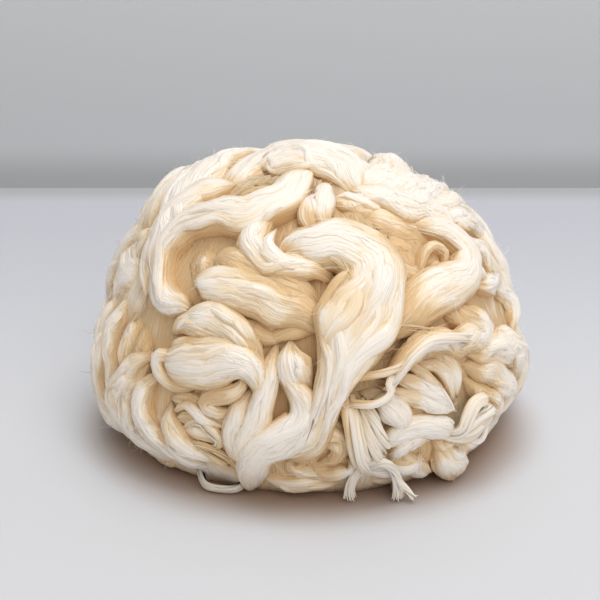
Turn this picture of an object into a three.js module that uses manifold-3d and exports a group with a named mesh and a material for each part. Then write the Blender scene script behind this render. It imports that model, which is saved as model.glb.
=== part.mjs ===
// A loose heap of combed bamboo spinning fibre, as it lies on a table.
// Millimetres and degrees, +Z up, the heap's front faces -Y. The origin is on the table, under the
// middle of the heap. The pile is one solid: a rounded body with the main locks of fibre wound,
// folded and twisted over it, and a flat underside. One loose end stands in front of it.
//
// A place on the heap is given by three numbers. The azimuth runs round the heap from its front
// towards +X, the latitude runs up from the widest level to the top, and the lift is the height
// above the smooth dome that the pile would have without its locks.
import * as THREE from 'three';
import { mergeVertices } from 'three/addons/utils/BufferGeometryUtils.js';
import Module from 'manifold-3d';

// Driving dimensions of the smooth dome.
const HALF_WIDTH = 90;
const HALF_DEPTH = 87;
const BELLY_HEIGHT = 30;
const RISE = 88;
const SINK = 52;
const FULLNESS = 2.05;

// Where the middle of the dome stands, so that the origin is under the middle of the whole heap.
const DOME_X = -0.2;
const DOME_Y = 1.43;

// The body under the locks, and the resolution of each form.
const BODY_DEPTH = 9;
const BODY_DEPTH_LOW = 3;
const BODY_BAND = 0.3;
const BODY_SINK = 62;
const BODY_SIDES = 24;
const BODY_RINGS = 12;
const WIDE_LOCK = 11;
const WIDE_LOCK_SIDES = 6;
const SLIM_LOCK_SIDES = 5;
const LOCK_STEP = 15;
const ROWS_KEPT = 10;
const FLATNESS = 0.62;
const THICKEST = 14;
const ROOT = 9;
const TIP_SHARE = 0.14;
const QUARTER = 0.25;
const BELOW = 40;

// The locks that show at the front and sides, from the top down. Each row of a lock is one
// section, with these columns; the lift is that of its crest.
const AZIMUTH = 0;
const LATITUDE = 1;
const LIFT = 2;
const WIDTH = 3;
const FRONT_LOCKS = {
  crown: [[-60, 60, -5, 14], [-72, 68, -3, 22], [-90, 77, -1, 28], [0, 87, 2, 30], [46, 81, 1, 26],
    [42, 73, 0, 20], [34, 64, -3, 14]],
  fall_top: [[-4, 80, -2, 10], [-11, 71, 1, 13], [-16, 62, 2, 15], [-27, 55.5, 3, 16],
    [-42, 53, 3, 15], [-53, 48, 2, 12], [-56, 40, 1, 10], [-52, 33, 0, 10], [-44, 28.5, 1, 11],
    [-36, 27.5, 2, 15]],
  fall_end: [[-39, 26.5, 0, 12], [-30, 26.5, 3, 17], [-22, 25, 2, 13], [-15, 21.5, 1, 9],
    [-11, 16, -3, 6]],
  branch: [[-16, 60, -1, 9], [-22, 53, 1, 13], [-23, 47, 1, 13], [-17, 43.5, 2, 12], [-8, 42, 2, 11],
    [2, 41, 1, 10], [9, 38, -4, 8]],
  split_left: [[6, 67, -3, 5], [0.5, 61, 0, 7], [0, 56, 0, 8], [2, 51, -3, 8]],
  split_right: [[16, 73, -3, 9], [8, 64, 0, 7], [5.5, 57, 0, 7], [7, 51, -3, 8]],
  brow: [[7, 64.5, -4, 8], [16, 63.5, -1, 10], [25, 62, -1, 11], [36, 59, -2, 13], [46, 54, -3, 12]],
  brow_low: [[12, 57.5, -8, 8], [20, 57.5, -6, 9], [29, 54, -7, 9]],
  sweep: [[-14, 43.5, -4, 11], [-7, 47, 1, 16], [3, 47.5, 4, 20], [12, 46, 6, 22], [17, 42, 8, 23],
    [17, 37, 9, 24], [14.5, 31.5, 9, 27], [11, 26, 9, 28], [8, 20, 8, 22], [5.5, 14, 7, 14],
    [4, 9, 6, 10], [2.5, 3, 5, 10], [-1, -1.5, 4, 11], [-7, -4, 2, 11], [-12, -7, -2, 8]],
  cheek_top: [[-37, 38, -4, 9], [-31, 42, 1, 13], [-22, 41, 3, 14], [-12, 38, 3, 13], [-3, 35.5, 2, 11],
    [5, 32, -3, 9]],
  cheek: [[-36, 30.5, -4, 9], [-36, 34, 1, 12], [-28, 35.5, 3, 16], [-16, 34, 3, 17], [-7, 31.5, 2, 14],
    [1, 28.5, 0, 10], [6, 26, -5, 8]],
  cheek_under: [[-19, 28.5, -6, 6], [-12, 27.5, -3, 8], [-4, 27.5, -5, 7]],
  egg: [[-4, 25, -5, 7], [-4, 19, -3, 13], [-2, 13, -4, 10], [0.5, 7, -7, 7]],
  roll_top: [[-42, 20, -3, 9], [-36, 21.5, 1, 10], [-28, 21, 2, 10], [-20, 20, 3, 10], [-15, 17.5, 3, 9],
    [-13, 13, 2, 8], [-12.5, 8, -1, 7]],
  roll: [[-42, 15, -3, 9], [-38, 16, 1, 15], [-31, 15, 2, 19], [-24, 14.5, 2, 17], [-19, 14, 1, 12],
    [-16, 12, -1, 8], [-20, 9.8, -1, 7]],
  roll_curl: [[-17.5, 12, -1, 6], [-20, 9.8, 0, 7], [-26, 8.7, 0, 8], [-28, 5.7, -1, 8], [-24, 3.7, -2, 7],
    [-19, 4, -5, 6]],
  drop_left: [[-49, 11, -3, 6], [-54, 5, 0, 9], [-57, -1, 1, 10], [-56, -7, 2, 10], [-51, -12, 2, 9],
    [-46, -15, -1, 7]],
  drop_middle: [[-45.5, 10.5, -3, 6], [-48, 4, 0, 9], [-49.5, -2, 1, 10], [-48, -8, 1, 10], [-44, -13, 1, 9],
    [-39, -16, -1, 7]],
  drop_right: [[-43, 9, -3, 6], [-44, 4, 0, 8], [-43.5, -1, 1, 10], [-41, -6, 1, 10], [-37, -11, 2, 9],
    [-31, -15, 2, 8], [-25, -18, 0, 7]],
  foot_left: [[-63, -11, 1, 10], [-57, -14.5, 5, 13], [-49, -17, 8, 15], [-41, -18, 7, 14], [-33, -19, 2, 10]],
  ripple: [[-40, 2, -5, 6], [-35, 0, -3, 7], [-29, -1, -3, 8], [-21, -1, -5, 7]],
  ripple_low: [[-37, -4, -4, 7], [-31, -8.5, -2, 9], [-27, -12.5, -1, 9], [-24, -18, -1, 8]],
  limb_left: [[-14, 12, -4, 6], [-17, 6, 0, 9], [-19.5, 0, 1, 10], [-19, -6, 1, 10], [-17, -13, 0, 9]],
  limb: [[-9, 24, -5, 5], [-9.5, 19, -1, 7], [-11, 12, 1, 8], [-12.5, 6, 2, 9], [-14.5, 0, 3, 11],
    [-17, -7, 2, 11], [-18, -14, 0, 9]],
  heel: [[-8, 21, -4, 5], [-6, 15, 0, 7], [-3, 11, 3, 8], [-0.5, 7, 5, 11], [-2, 3, 6, 14],
    [-7, 0, 6, 15], [-12, -4, 5, 15], [-15, -10, 4, 13], [-17, -16, 3, 11], [-19, -21, 5, 9]],
  slit_lock: [[-6, -5.5, -4, 6], [0, -4.5, -2, 8], [4, -4, -2, 8], [9, -6, -5, 6]],
  base_curl: [[-4.5, -6.5, -4, 5], [-6, -10, 0, 7], [-2.5, -13, 0, 8], [3, -14, -1, 8], [9, -13, -4, 8],
    [15, -12, -9, 7]],
  base: [[-14, -16, 0, 8], [-5, -18, 1, 9], [4, -18.5, 0, 9], [11, -18, -3, 8], [18, -16, -7, 6]],
  stem: [[9.3, 11, -5, 5], [9.5, 5, -1, 6.5], [9, 0, 0, 6.5], [9.5, -5, 0, 7], [13, -10, -2, 8]],
  stem_thin: [[14, 9, -5, 4], [14, 4, -2, 6], [15, -1, -1, 6], [17, -6, -3, 6]],
  knee: [[14, 8, -4, 8], [19, 7.5, -1, 12], [22.5, 3.5, -1, 10], [27, 0.5, 0, 9], [33, -1, 0, 10],
    [39, -4, -3, 8]],
  basket: [[19, 13, -4, 7], [24, 10.5, -1, 9], [30, 7.5, 0, 10], [35, 4.5, 0, 9], [39, 1, 0, 8],
    [41, -4, -2, 8]],
  fan: [[24, 16.5, -6, 7], [31, 13, -3, 13], [36, 8, -2, 13], [39.5, 1.5, -3, 8]],
  fan_rim: [[28, 18.5, -5, 5], [35, 17.5, -2, 6], [39.5, 13, -1, 6], [41, 7, -1, 6], [40, 0.5, -3, 6]],
  mantle: [[42, 51.5, -4, 9], [51, 49, 0, 11], [58, 43.5, 2, 12], [59.5, 37.5, 3, 13], [53, 33.5, 3, 16],
    [44, 32.5, 4, 18], [35, 31, 4, 19], [28, 28, 3, 16], [22, 24.5, 1, 11], [17, 21.5, -5, 8]],
  mantle_loop: [[36, 35, -2, 7], [38, 40.5, 1, 7], [44, 43.5, 2, 7], [49.5, 42, 2, 7], [50.5, 37.5, 1, 7],
    [45, 34.5, -1, 7]],
  slope: [[34, 26, -6, 8], [26, 23, -5, 10], [19, 19.5, -5, 10], [13, 17, -8, 8]],
  shelf: [[41, 31, -4, 9], [43.5, 26.5, -1, 12], [48.5, 22.5, 1, 13], [52.5, 19.5, 1, 12], [49, 17, 1, 12],
    [43, 18.5, 2, 11], [36, 20.5, 4, 7], [29, 21, 5, 7], [24.5, 19, 5, 7], [21, 15.5, 4, 6],
    [19, 12.5, 2, 6], [18.5, 9.5, -1, 5]],
  cloud_top: [[28, 67, -4, 12], [45, 68, 0, 18], [64, 68, 2, 20], [88, 66, 3, 20], [104, 60, 1, 14]],
  cloud: [[34, 58, -3, 11], [48, 57, 0, 15], [62, 57, 2, 17], [78, 55, 4, 18], [94, 51, 3, 16],
    [104, 44, 0, 12]],
  cloud_low: [[50, 50.5, -3, 9], [62, 50, 1, 13], [73, 47, 2, 15], [83, 41, 3, 14], [88, 33, 1, 12]],
  ridge: [[58, 45, -3, 7], [66, 38.5, 0, 9], [71.5, 31, 0, 9], [75, 23, -1, 9]],
  edge_right: [[53, 32.5, -4, 6], [60, 29.5, 0, 8], [68, 27.5, -1, 10], [76, 24, -3, 10], [79, 16, 0, 12],
    [74, 10, -1, 10]],
  cushion: [[55, 15.5, -3, 9], [63, 13, 1, 13], [70, 7, 3, 15], [72, -1, 2, 14], [66, -8, -1, 11],
    [58, -11, -3, 8]],
  hollow_lock: [[46, 13, -6, 8], [53, 8, -3, 13], [58, 1, -2, 13], [57, -6, -2, 10]],
  fork: [[45.5, 6, -2, 6], [43.5, 0, 1, 7], [39, -4, 1, 8], [34, -7, -1, 7]],
  fork_outer: [[49, 4, -2, 7], [51, -2, 1, 9], [50, -8, 2, 9], [44, -11.5, 2, 9], [37, -12, 0, 9]],
  lap: [[15, -10, -4, 7], [18, -5, -1, 8], [22.5, -2.5, -1, 8], [29, -3.5, -1, 9], [35, -7, -1, 9]],
  pouch: [[18, -6, -6, 7], [24, -5, -2, 8], [30, -8, 0, 9], [31.5, -13.5, 0, 8], [30, -18, -1, 7]],
  foot_right: [[32, -9, -2, 9], [35.5, -14, 3, 13], [41, -17.5, 7, 15], [48, -14, 4, 12]],
  shoulder_outer: [[-108, 60, 0, 14], [-98, 53, 2, 17], [-91, 44, -1, 17], [-84, 36, -5, 14],
    [-73, 29, -6, 12], [-63, 24, -6, 10]],
  shoulder: [[-60, 67, -2, 12], [-67, 59, 1, 17], [-69, 50, 1, 17], [-66, 42, 0, 17], [-61, 34, -3, 14],
    [-55, 27, -5, 11], [-48, 22, -7, 9]],
  shoulder_inner: [[-44, 62, -3, 9], [-51, 56.5, 0, 11], [-59, 51, 0, 11], [-62, 43, -1, 10],
    [-58, 36, -3, 9], [-52, 29.5, -4, 9], [-45, 25.5, -5, 8]],
  flank: [[-86, 31, -11, 11], [-83, 22, -9, 13], [-79, 13, -3, 14], [-74, 4, 2, 14], [-70, -5, 3, 13],
    [-62, -12, 1, 11]],
  flank_inner: [[-71, 26, -7, 9], [-69, 18, -3, 12], [-68, 9, 0, 13], [-64, 1, 0, 12], [-60, -7, 0, 10]],
  valley: [[-60, 21, -8, 9], [-57, 13, -6, 12], [-57, 5, -5, 10]],
};

// The locks round the back, each wound over the dome from a start with a steady turn: where it
// starts, its first heading (0 is up, 90 is towards growing azimuth), how far it turns on the way,
// its length, width and crest lift.
const BACK_LOCKS = [
  { azimuth: 88, latitude: -8, heading: 10, turn: 70, length: 100, width: 24, lift: -3 },
  { azimuth: 78, latitude: -15, heading: 80, turn: -40, length: 95, width: 18, lift: 4 },
  { azimuth: 92, latitude: 20, heading: 140, turn: -110, length: 110, width: 24, lift: -3 },
  { azimuth: 96, latitude: 47, heading: 120, turn: -90, length: 105, width: 24, lift: 0 },
  { azimuth: 108, latitude: -9, heading: 30, turn: 85, length: 115, width: 25, lift: 2 },
  { azimuth: 114, latitude: -17, heading: 80, turn: 20, length: 105, width: 17, lift: 4 },
  { azimuth: 122, latitude: 30, heading: 95, turn: 60, length: 105, width: 28, lift: 2 },
  { azimuth: 142, latitude: -2, heading: 110, turn: -100, length: 110, width: 24, lift: 3 },
  { azimuth: 132, latitude: 60, heading: 95, turn: 50, length: 105, width: 26, lift: 3 },
  { azimuth: 148, latitude: 13, heading: 50, turn: 60, length: 100, width: 27, lift: 1 },
  { azimuth: 164, latitude: -17, heading: 92, turn: -15, length: 110, width: 18, lift: 4 },
  { azimuth: 174, latitude: 44, heading: 205, turn: -130, length: 115, width: 26, lift: 4 },
  { azimuth: 190, latitude: -6, heading: 25, turn: 100, length: 120, width: 26, lift: 2 },
  { azimuth: 190, latitude: 54, heading: 70, turn: 70, length: 110, width: 28, lift: 2 },
  { azimuth: 200, latitude: 24, heading: 70, turn: 50, length: 100, width: 28, lift: 3 },
  { azimuth: 212, latitude: -17, heading: 85, turn: 15, length: 105, width: 18, lift: 4 },
  { azimuth: 220, latitude: 0, heading: 80, turn: -80, length: 110, width: 25, lift: 2 },
  { azimuth: 228, latitude: 44, heading: 130, turn: -60, length: 95, width: 26, lift: -2 },
  { azimuth: 246, latitude: -13, heading: 15, turn: 50, length: 95, width: 22, lift: -3 },
  { azimuth: 246, latitude: 58, heading: 140, turn: 40, length: 95, width: 24, lift: -4 },
  { azimuth: 250, latitude: 22, heading: 120, turn: -70, length: 90, width: 24, lift: -7 },
  { azimuth: 258, latitude: -16, heading: 75, turn: 30, length: 75, width: 16, lift: 4 },
  { azimuth: 120, latitude: 76, heading: 80, turn: -50, length: 110, width: 30, lift: 1 },
];

// The small handle of fibre that hangs out at the foot, the root that carries the loose end out from
// under the heap, and the loose end. Each row of a route is one point: x, y, z from the dome's middle.
const HANDLE_THICKNESS = 2.6;
const HANDLE_SIDES = 6;
const HANDLE_STEPS = 12;
const HANDLE_ROUTE = [[-42, -56, 10], [-42, -65, 5], [-39.5, -70, 2.2], [-34, -72, 1.6],
  [-28, -72, 1.9], [-24, -68, 4], [-23, -60, 9]];
const ROOT_THICKNESS = 4;
const ROOT_SIDES = 8;
const ROOT_STEPS = 4;
const ROOT_ROUTE = [[30, -54, 6], [31.5, -64, 3], [32.7, -76, 2.2]];
const END_THICKNESS = 4.2;
const END_SIDES = 8;
const END_STEPS = 14;
const END_ROUTE = [[32.7, -77.5, 0.4], [32.7, -78.2, 5.8], [31.5, -80, 11.7], [29.1, -82.5, 16.6],
  [25.3, -84, 18.8], [21, -82.5, 16.6], [17.1, -80, 12.1], [15, -78.2, 6.6], [14.7, -77.5, 0.6]];
const END_CLEARANCE = 0.4;

const radians = THREE.MathUtils.degToRad;

function direction(azimuth, latitude) {
  const across = Math.cos(radians(latitude));
  const right = across * Math.sin(radians(azimuth));
  const back = -across * Math.cos(radians(azimuth));
  return new THREE.Vector3(right, back, Math.sin(radians(latitude)));
}

// A point of the dome: the dome is a rounded ellipsoid, taller above its belly than below it.
function domeRadius(way, sink = SINK) {
  const height = way.z > 0 ? RISE : sink;
  const sum = Math.abs(way.x / HALF_WIDTH) ** FULLNESS + Math.abs(way.y / HALF_DEPTH) ** FULLNESS
    + Math.abs(way.z / height) ** FULLNESS;
  return sum ** (-1 / FULLNESS);
}

// The outward direction of the dome at a point, which is its gradient there.
function outward(point) {
  const z = point.z - BELLY_HEIGHT;
  const height = z > 0 ? RISE : SINK;
  return new THREE.Vector3(
    point.x / HALF_WIDTH ** 2, point.y / HALF_DEPTH ** 2, z / height ** 2).normalize();
}

function domePoint(azimuth, latitude, lift) {
  const way = direction(azimuth, latitude);
  const point = way.clone().multiplyScalar(domeRadius(way));
  point.z += BELLY_HEIGHT;
  return point.addScaledVector(outward(point), lift);
}

// A lock is a sphere's grid of rings drawn out along its path. Each ring is a flattened oval that
// lies on the dome, and both ends close in a rounded tip.
function lockGeometry(path, widths, rowCount) {
  const strides = Math.round(path.getLength() / LOCK_STEP) + 2;
  const steps = Math.max(strides, Math.min(rowCount, ROWS_KEPT));
  const sides = widths(0.5) < WIDE_LOCK ? SLIM_LOCK_SIDES : WIDE_LOCK_SIDES;
  const geometry = new THREE.SphereGeometry(1, sides, steps);
  const position = geometry.attributes.position;
  const grid = geometry.attributes.uv;
  const centre = new THREE.Vector3();
  for (let i = 0; i < position.count; i += 1) {
    const along = THREE.MathUtils.clamp(1 - grid.getY(i), 0, 1);
    const start = sides === SLIM_LOCK_SIDES ? QUARTER : 0;
    const around = (grid.getX(i) + start) * 2 * Math.PI;
    path.getPoint(along, centre);
    const ahead = path.getTangent(along);
    const up = outward(centre);
    const side = new THREE.Vector3().crossVectors(ahead, up).normalize();
    up.crossVectors(side, ahead).normalize();
    const tip = Math.min(along, 1 - along) / TIP_SHARE;
    const close = tip < 1 ? Math.sqrt(Math.max(0, 1 - (1 - tip) ** 2)) : 1;
    const width = widths(along);
    const thickness = Math.min(THICKEST, width * FLATNESS);
    const height = Math.sin(around);
    const reach = height > 0 ? thickness / 2 : thickness / 2 + ROOT;
    centre.addScaledVector(up, -thickness / 2);
    centre.addScaledVector(side, Math.cos(around) * close * width / 2);
    centre.addScaledVector(up, height * close * reach);
    position.setXYZ(i, centre.x, centre.y, centre.z);
  }
  return geometry;
}

// A value carried from row to row of a table, at any share of the way.
function between(values, along) {
  const place = along * (values.length - 1);
  const row = Math.min(Math.floor(place), values.length - 2);
  return THREE.MathUtils.lerp(values[row], values[row + 1], place - row);
}

function rowsLock(rows) {
  const points = rows.map((row) => domePoint(row[AZIMUTH], row[LATITUDE], row[LIFT]));
  const path = new THREE.CatmullRomCurve3(points, false, 'centripetal');
  const widths = rows.map((row) => row[WIDTH]);
  return lockGeometry(path, (along) => between(widths, along), rows.length);
}

// The rows of a lock that is walked over the dome: each stride goes on in the heading, which turns
// evenly, and the crest sinks at both ends so that the lock comes out from under its neighbours.
const STRIDE = 14;
const END_SINK = 6;
const END_SHARE = 0.5;
const SWELL_POWER = 0.6;
const LOWEST = -19;
const HIGHEST = 84;
const NARROWEST = 0.25;

function walkedRows({ azimuth, latitude, heading, turn, length, width, lift }) {
  const strides = Math.round(length / STRIDE);
  const degrees = THREE.MathUtils.radToDeg(STRIDE / HALF_WIDTH);
  const rows = [];
  let place = { azimuth, latitude };
  for (let i = 0; i <= strides; i += 1) {
    const share = i / strides;
    const swell = Math.sin(Math.PI * share) ** SWELL_POWER;
    const crest = lift - END_SINK * (1 - swell);
    const breadth = width * THREE.MathUtils.lerp(END_SHARE, 1, swell);
    rows.push([place.azimuth, place.latitude, crest, breadth]);
    const course = radians(heading + turn * share);
    const narrow = Math.max(NARROWEST, Math.cos(radians(place.latitude)));
    const higher = place.latitude + degrees * Math.cos(course);
    place = {
      azimuth: place.azimuth + degrees * Math.sin(course) / narrow,
      latitude: THREE.MathUtils.clamp(higher, LOWEST, HIGHEST),
    };
  }
  return rows;
}

// The body that carries the locks: the dome, a little smaller.
function bodyGeometry() {
  const geometry = new THREE.SphereGeometry(1, BODY_SIDES, BODY_RINGS);
  geometry.rotateX(Math.PI / 2);
  const position = geometry.attributes.position;
  const way = new THREE.Vector3();
  for (let i = 0; i < position.count; i += 1) {
    way.fromBufferAttribute(position, i).normalize();
    const point = way.clone().multiplyScalar(domeRadius(way, BODY_SINK));
    point.z += BELLY_HEIGHT;
    const upper = THREE.MathUtils.smoothstep(way.z, -BODY_BAND, BODY_BAND);
    const depth = THREE.MathUtils.lerp(BODY_DEPTH_LOW, BODY_DEPTH, upper);
    point.addScaledVector(outward(point), -depth);
    position.setXYZ(i, point.x, point.y, point.z);
  }
  return geometry;
}

// A round strand along a route.
function tubeGeometry(route, thickness, sides, steps) {
  const places = route.map((place) => new THREE.Vector3(...place));
  const curve = new THREE.CatmullRomCurve3(places, false, 'centripetal');
  const outline = new THREE.Shape();
  for (let i = 0; i < sides; i += 1) {
    const angle = 2 * Math.PI * (i + 0.5) / sides;
    const corner = [Math.cos(angle) * thickness / 2, Math.sin(angle) * thickness / 2];
    if (i === 0) outline.moveTo(...corner);
    else outline.lineTo(...corner);
  }
  return new THREE.ExtrudeGeometry(outline, { extrudePath: curve, steps, bevelEnabled: false });
}

const WELD = 1e-4;
const wasm = await Module();
wasm.setup();

// The solid of a closed surface, with its doubled corners joined and its flattened faces left out.
function solid(geometry) {
  geometry.deleteAttribute('normal');
  geometry.deleteAttribute('uv');
  const merged = mergeVertices(geometry, WELD);
  const corners = Array.from(merged.index.array);
  const kept = [];
  for (let i = 0; i < corners.length; i += 3) {
    const [a, b, c] = corners.slice(i, i + 3);
    if (a !== b && b !== c && c !== a) kept.push(a, b, c);
  }
  return new wasm.Manifold(new wasm.Mesh({
    numProp: 3,
    vertProperties: new Float32Array(merged.attributes.position.array),
    triVerts: new Uint32Array(kept),
  }));
}

function toGeometry(manifold) {
  const mesh = manifold.getMesh();
  const geometry = new THREE.BufferGeometry();
  geometry.setAttribute('position', new THREE.BufferAttribute(new Float32Array(mesh.vertProperties), 3));
  geometry.setIndex(new THREE.BufferAttribute(new Uint32Array(mesh.triVerts), 1));
  return geometry;
}

function heapGeometry() {
  let heap = solid(bodyGeometry());
  for (const rows of Object.values(FRONT_LOCKS)) heap = heap.add(solid(rowsLock(rows)));
  for (const lock of BACK_LOCKS) heap = heap.add(solid(rowsLock(walkedRows(lock))));
  heap = heap.add(solid(tubeGeometry(HANDLE_ROUTE, HANDLE_THICKNESS, HANDLE_SIDES, HANDLE_STEPS)));
  heap = heap.add(solid(tubeGeometry(ROOT_ROUTE, ROOT_THICKNESS, ROOT_SIDES, ROOT_STEPS)));
  // The heap keeps clear of the loose end that leans on it.
  const endSpace = END_THICKNESS + 2 * END_CLEARANCE;
  heap = heap.subtract(solid(tubeGeometry(END_ROUTE, endSpace, END_SIDES, END_STEPS)));
  const underTable = new THREE.BoxGeometry(4 * HALF_WIDTH, 4 * HALF_DEPTH, BELOW);
  underTable.translate(0, 0, -BELOW / 2);
  heap = heap.subtract(solid(underTable));
  // The tiny pockets that stay closed between the locks are filled: only the outer shell is kept.
  const [shell] = heap.decompose().sort((one, other) => other.volume() - one.volume());
  return toGeometry(shell);
}

const fibre = new THREE.MeshStandardMaterial({ color: 0xf1e7d6, roughness: 0.62, metalness: 0 });

const group = new THREE.Group();

function addPart(name, geometry) {
  geometry.translate(DOME_X, DOME_Y, 0);
  const part = new THREE.Mesh(geometry, fibre.clone());
  part.name = name;
  group.add(part);
}

addPart('heap', heapGeometry());
addPart('loose_end', tubeGeometry(END_ROUTE, END_THICKNESS, END_SIDES, END_STEPS));

export default group;
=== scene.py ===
"""Looks of a loose heap of combed bamboo spinning fibre.

The heap is made of locks that are wound, folded and laid over one smooth dome. Each lock is a
lofted surface with the grooves of combed fibre, thinner sub-locks lie on the wide ones, single
strands follow them, and fine hair stands out of the whole. One loose end arches in front of the
heap. Metres and degrees, +Z up, the front faces -Y.
"""
import logging
from dataclasses import dataclass, field
from enum import Enum
from typing import NamedTuple

import bpy
import numpy as np
from numpy.typing import NDArray
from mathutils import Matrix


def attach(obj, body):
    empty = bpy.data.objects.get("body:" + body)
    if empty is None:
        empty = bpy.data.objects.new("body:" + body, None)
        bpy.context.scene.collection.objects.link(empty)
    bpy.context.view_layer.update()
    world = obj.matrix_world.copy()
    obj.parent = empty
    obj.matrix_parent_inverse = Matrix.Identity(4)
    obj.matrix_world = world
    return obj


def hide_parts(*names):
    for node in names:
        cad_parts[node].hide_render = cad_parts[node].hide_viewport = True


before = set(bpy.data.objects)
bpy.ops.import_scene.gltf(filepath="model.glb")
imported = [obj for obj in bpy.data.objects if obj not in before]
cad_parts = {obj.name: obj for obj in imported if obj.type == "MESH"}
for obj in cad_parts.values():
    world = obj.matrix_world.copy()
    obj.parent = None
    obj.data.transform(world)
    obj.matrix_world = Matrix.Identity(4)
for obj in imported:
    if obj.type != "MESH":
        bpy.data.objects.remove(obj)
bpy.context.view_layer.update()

Array = NDArray[np.float64]
Numbers = NDArray[np.int64]
Rows = list[list[float]]
Colour = tuple[float, float, float]

logging.basicConfig(level=logging.INFO, format="%(message)s")
log = logging.getLogger("heap")

MM = 0.001
# The part of a ring's points that lies safely on a lock's outer side.
OUTER_SHARE = 0.78
# How far down and up the dome a walked lock and a walked strand go.
LOCK_LATITUDES = (-19.0, 84.0)
STRAND_LATITUDES = (-20.0, 84.0)


class Walk(NamedTuple):
    """A lock walked over the dome: start, first heading and turn on the way in degrees, then
    length, width and lift in millimetres."""

    azimuth: float
    latitude: float
    heading: float
    turn: float
    length: float
    width: float
    lift: float


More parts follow.
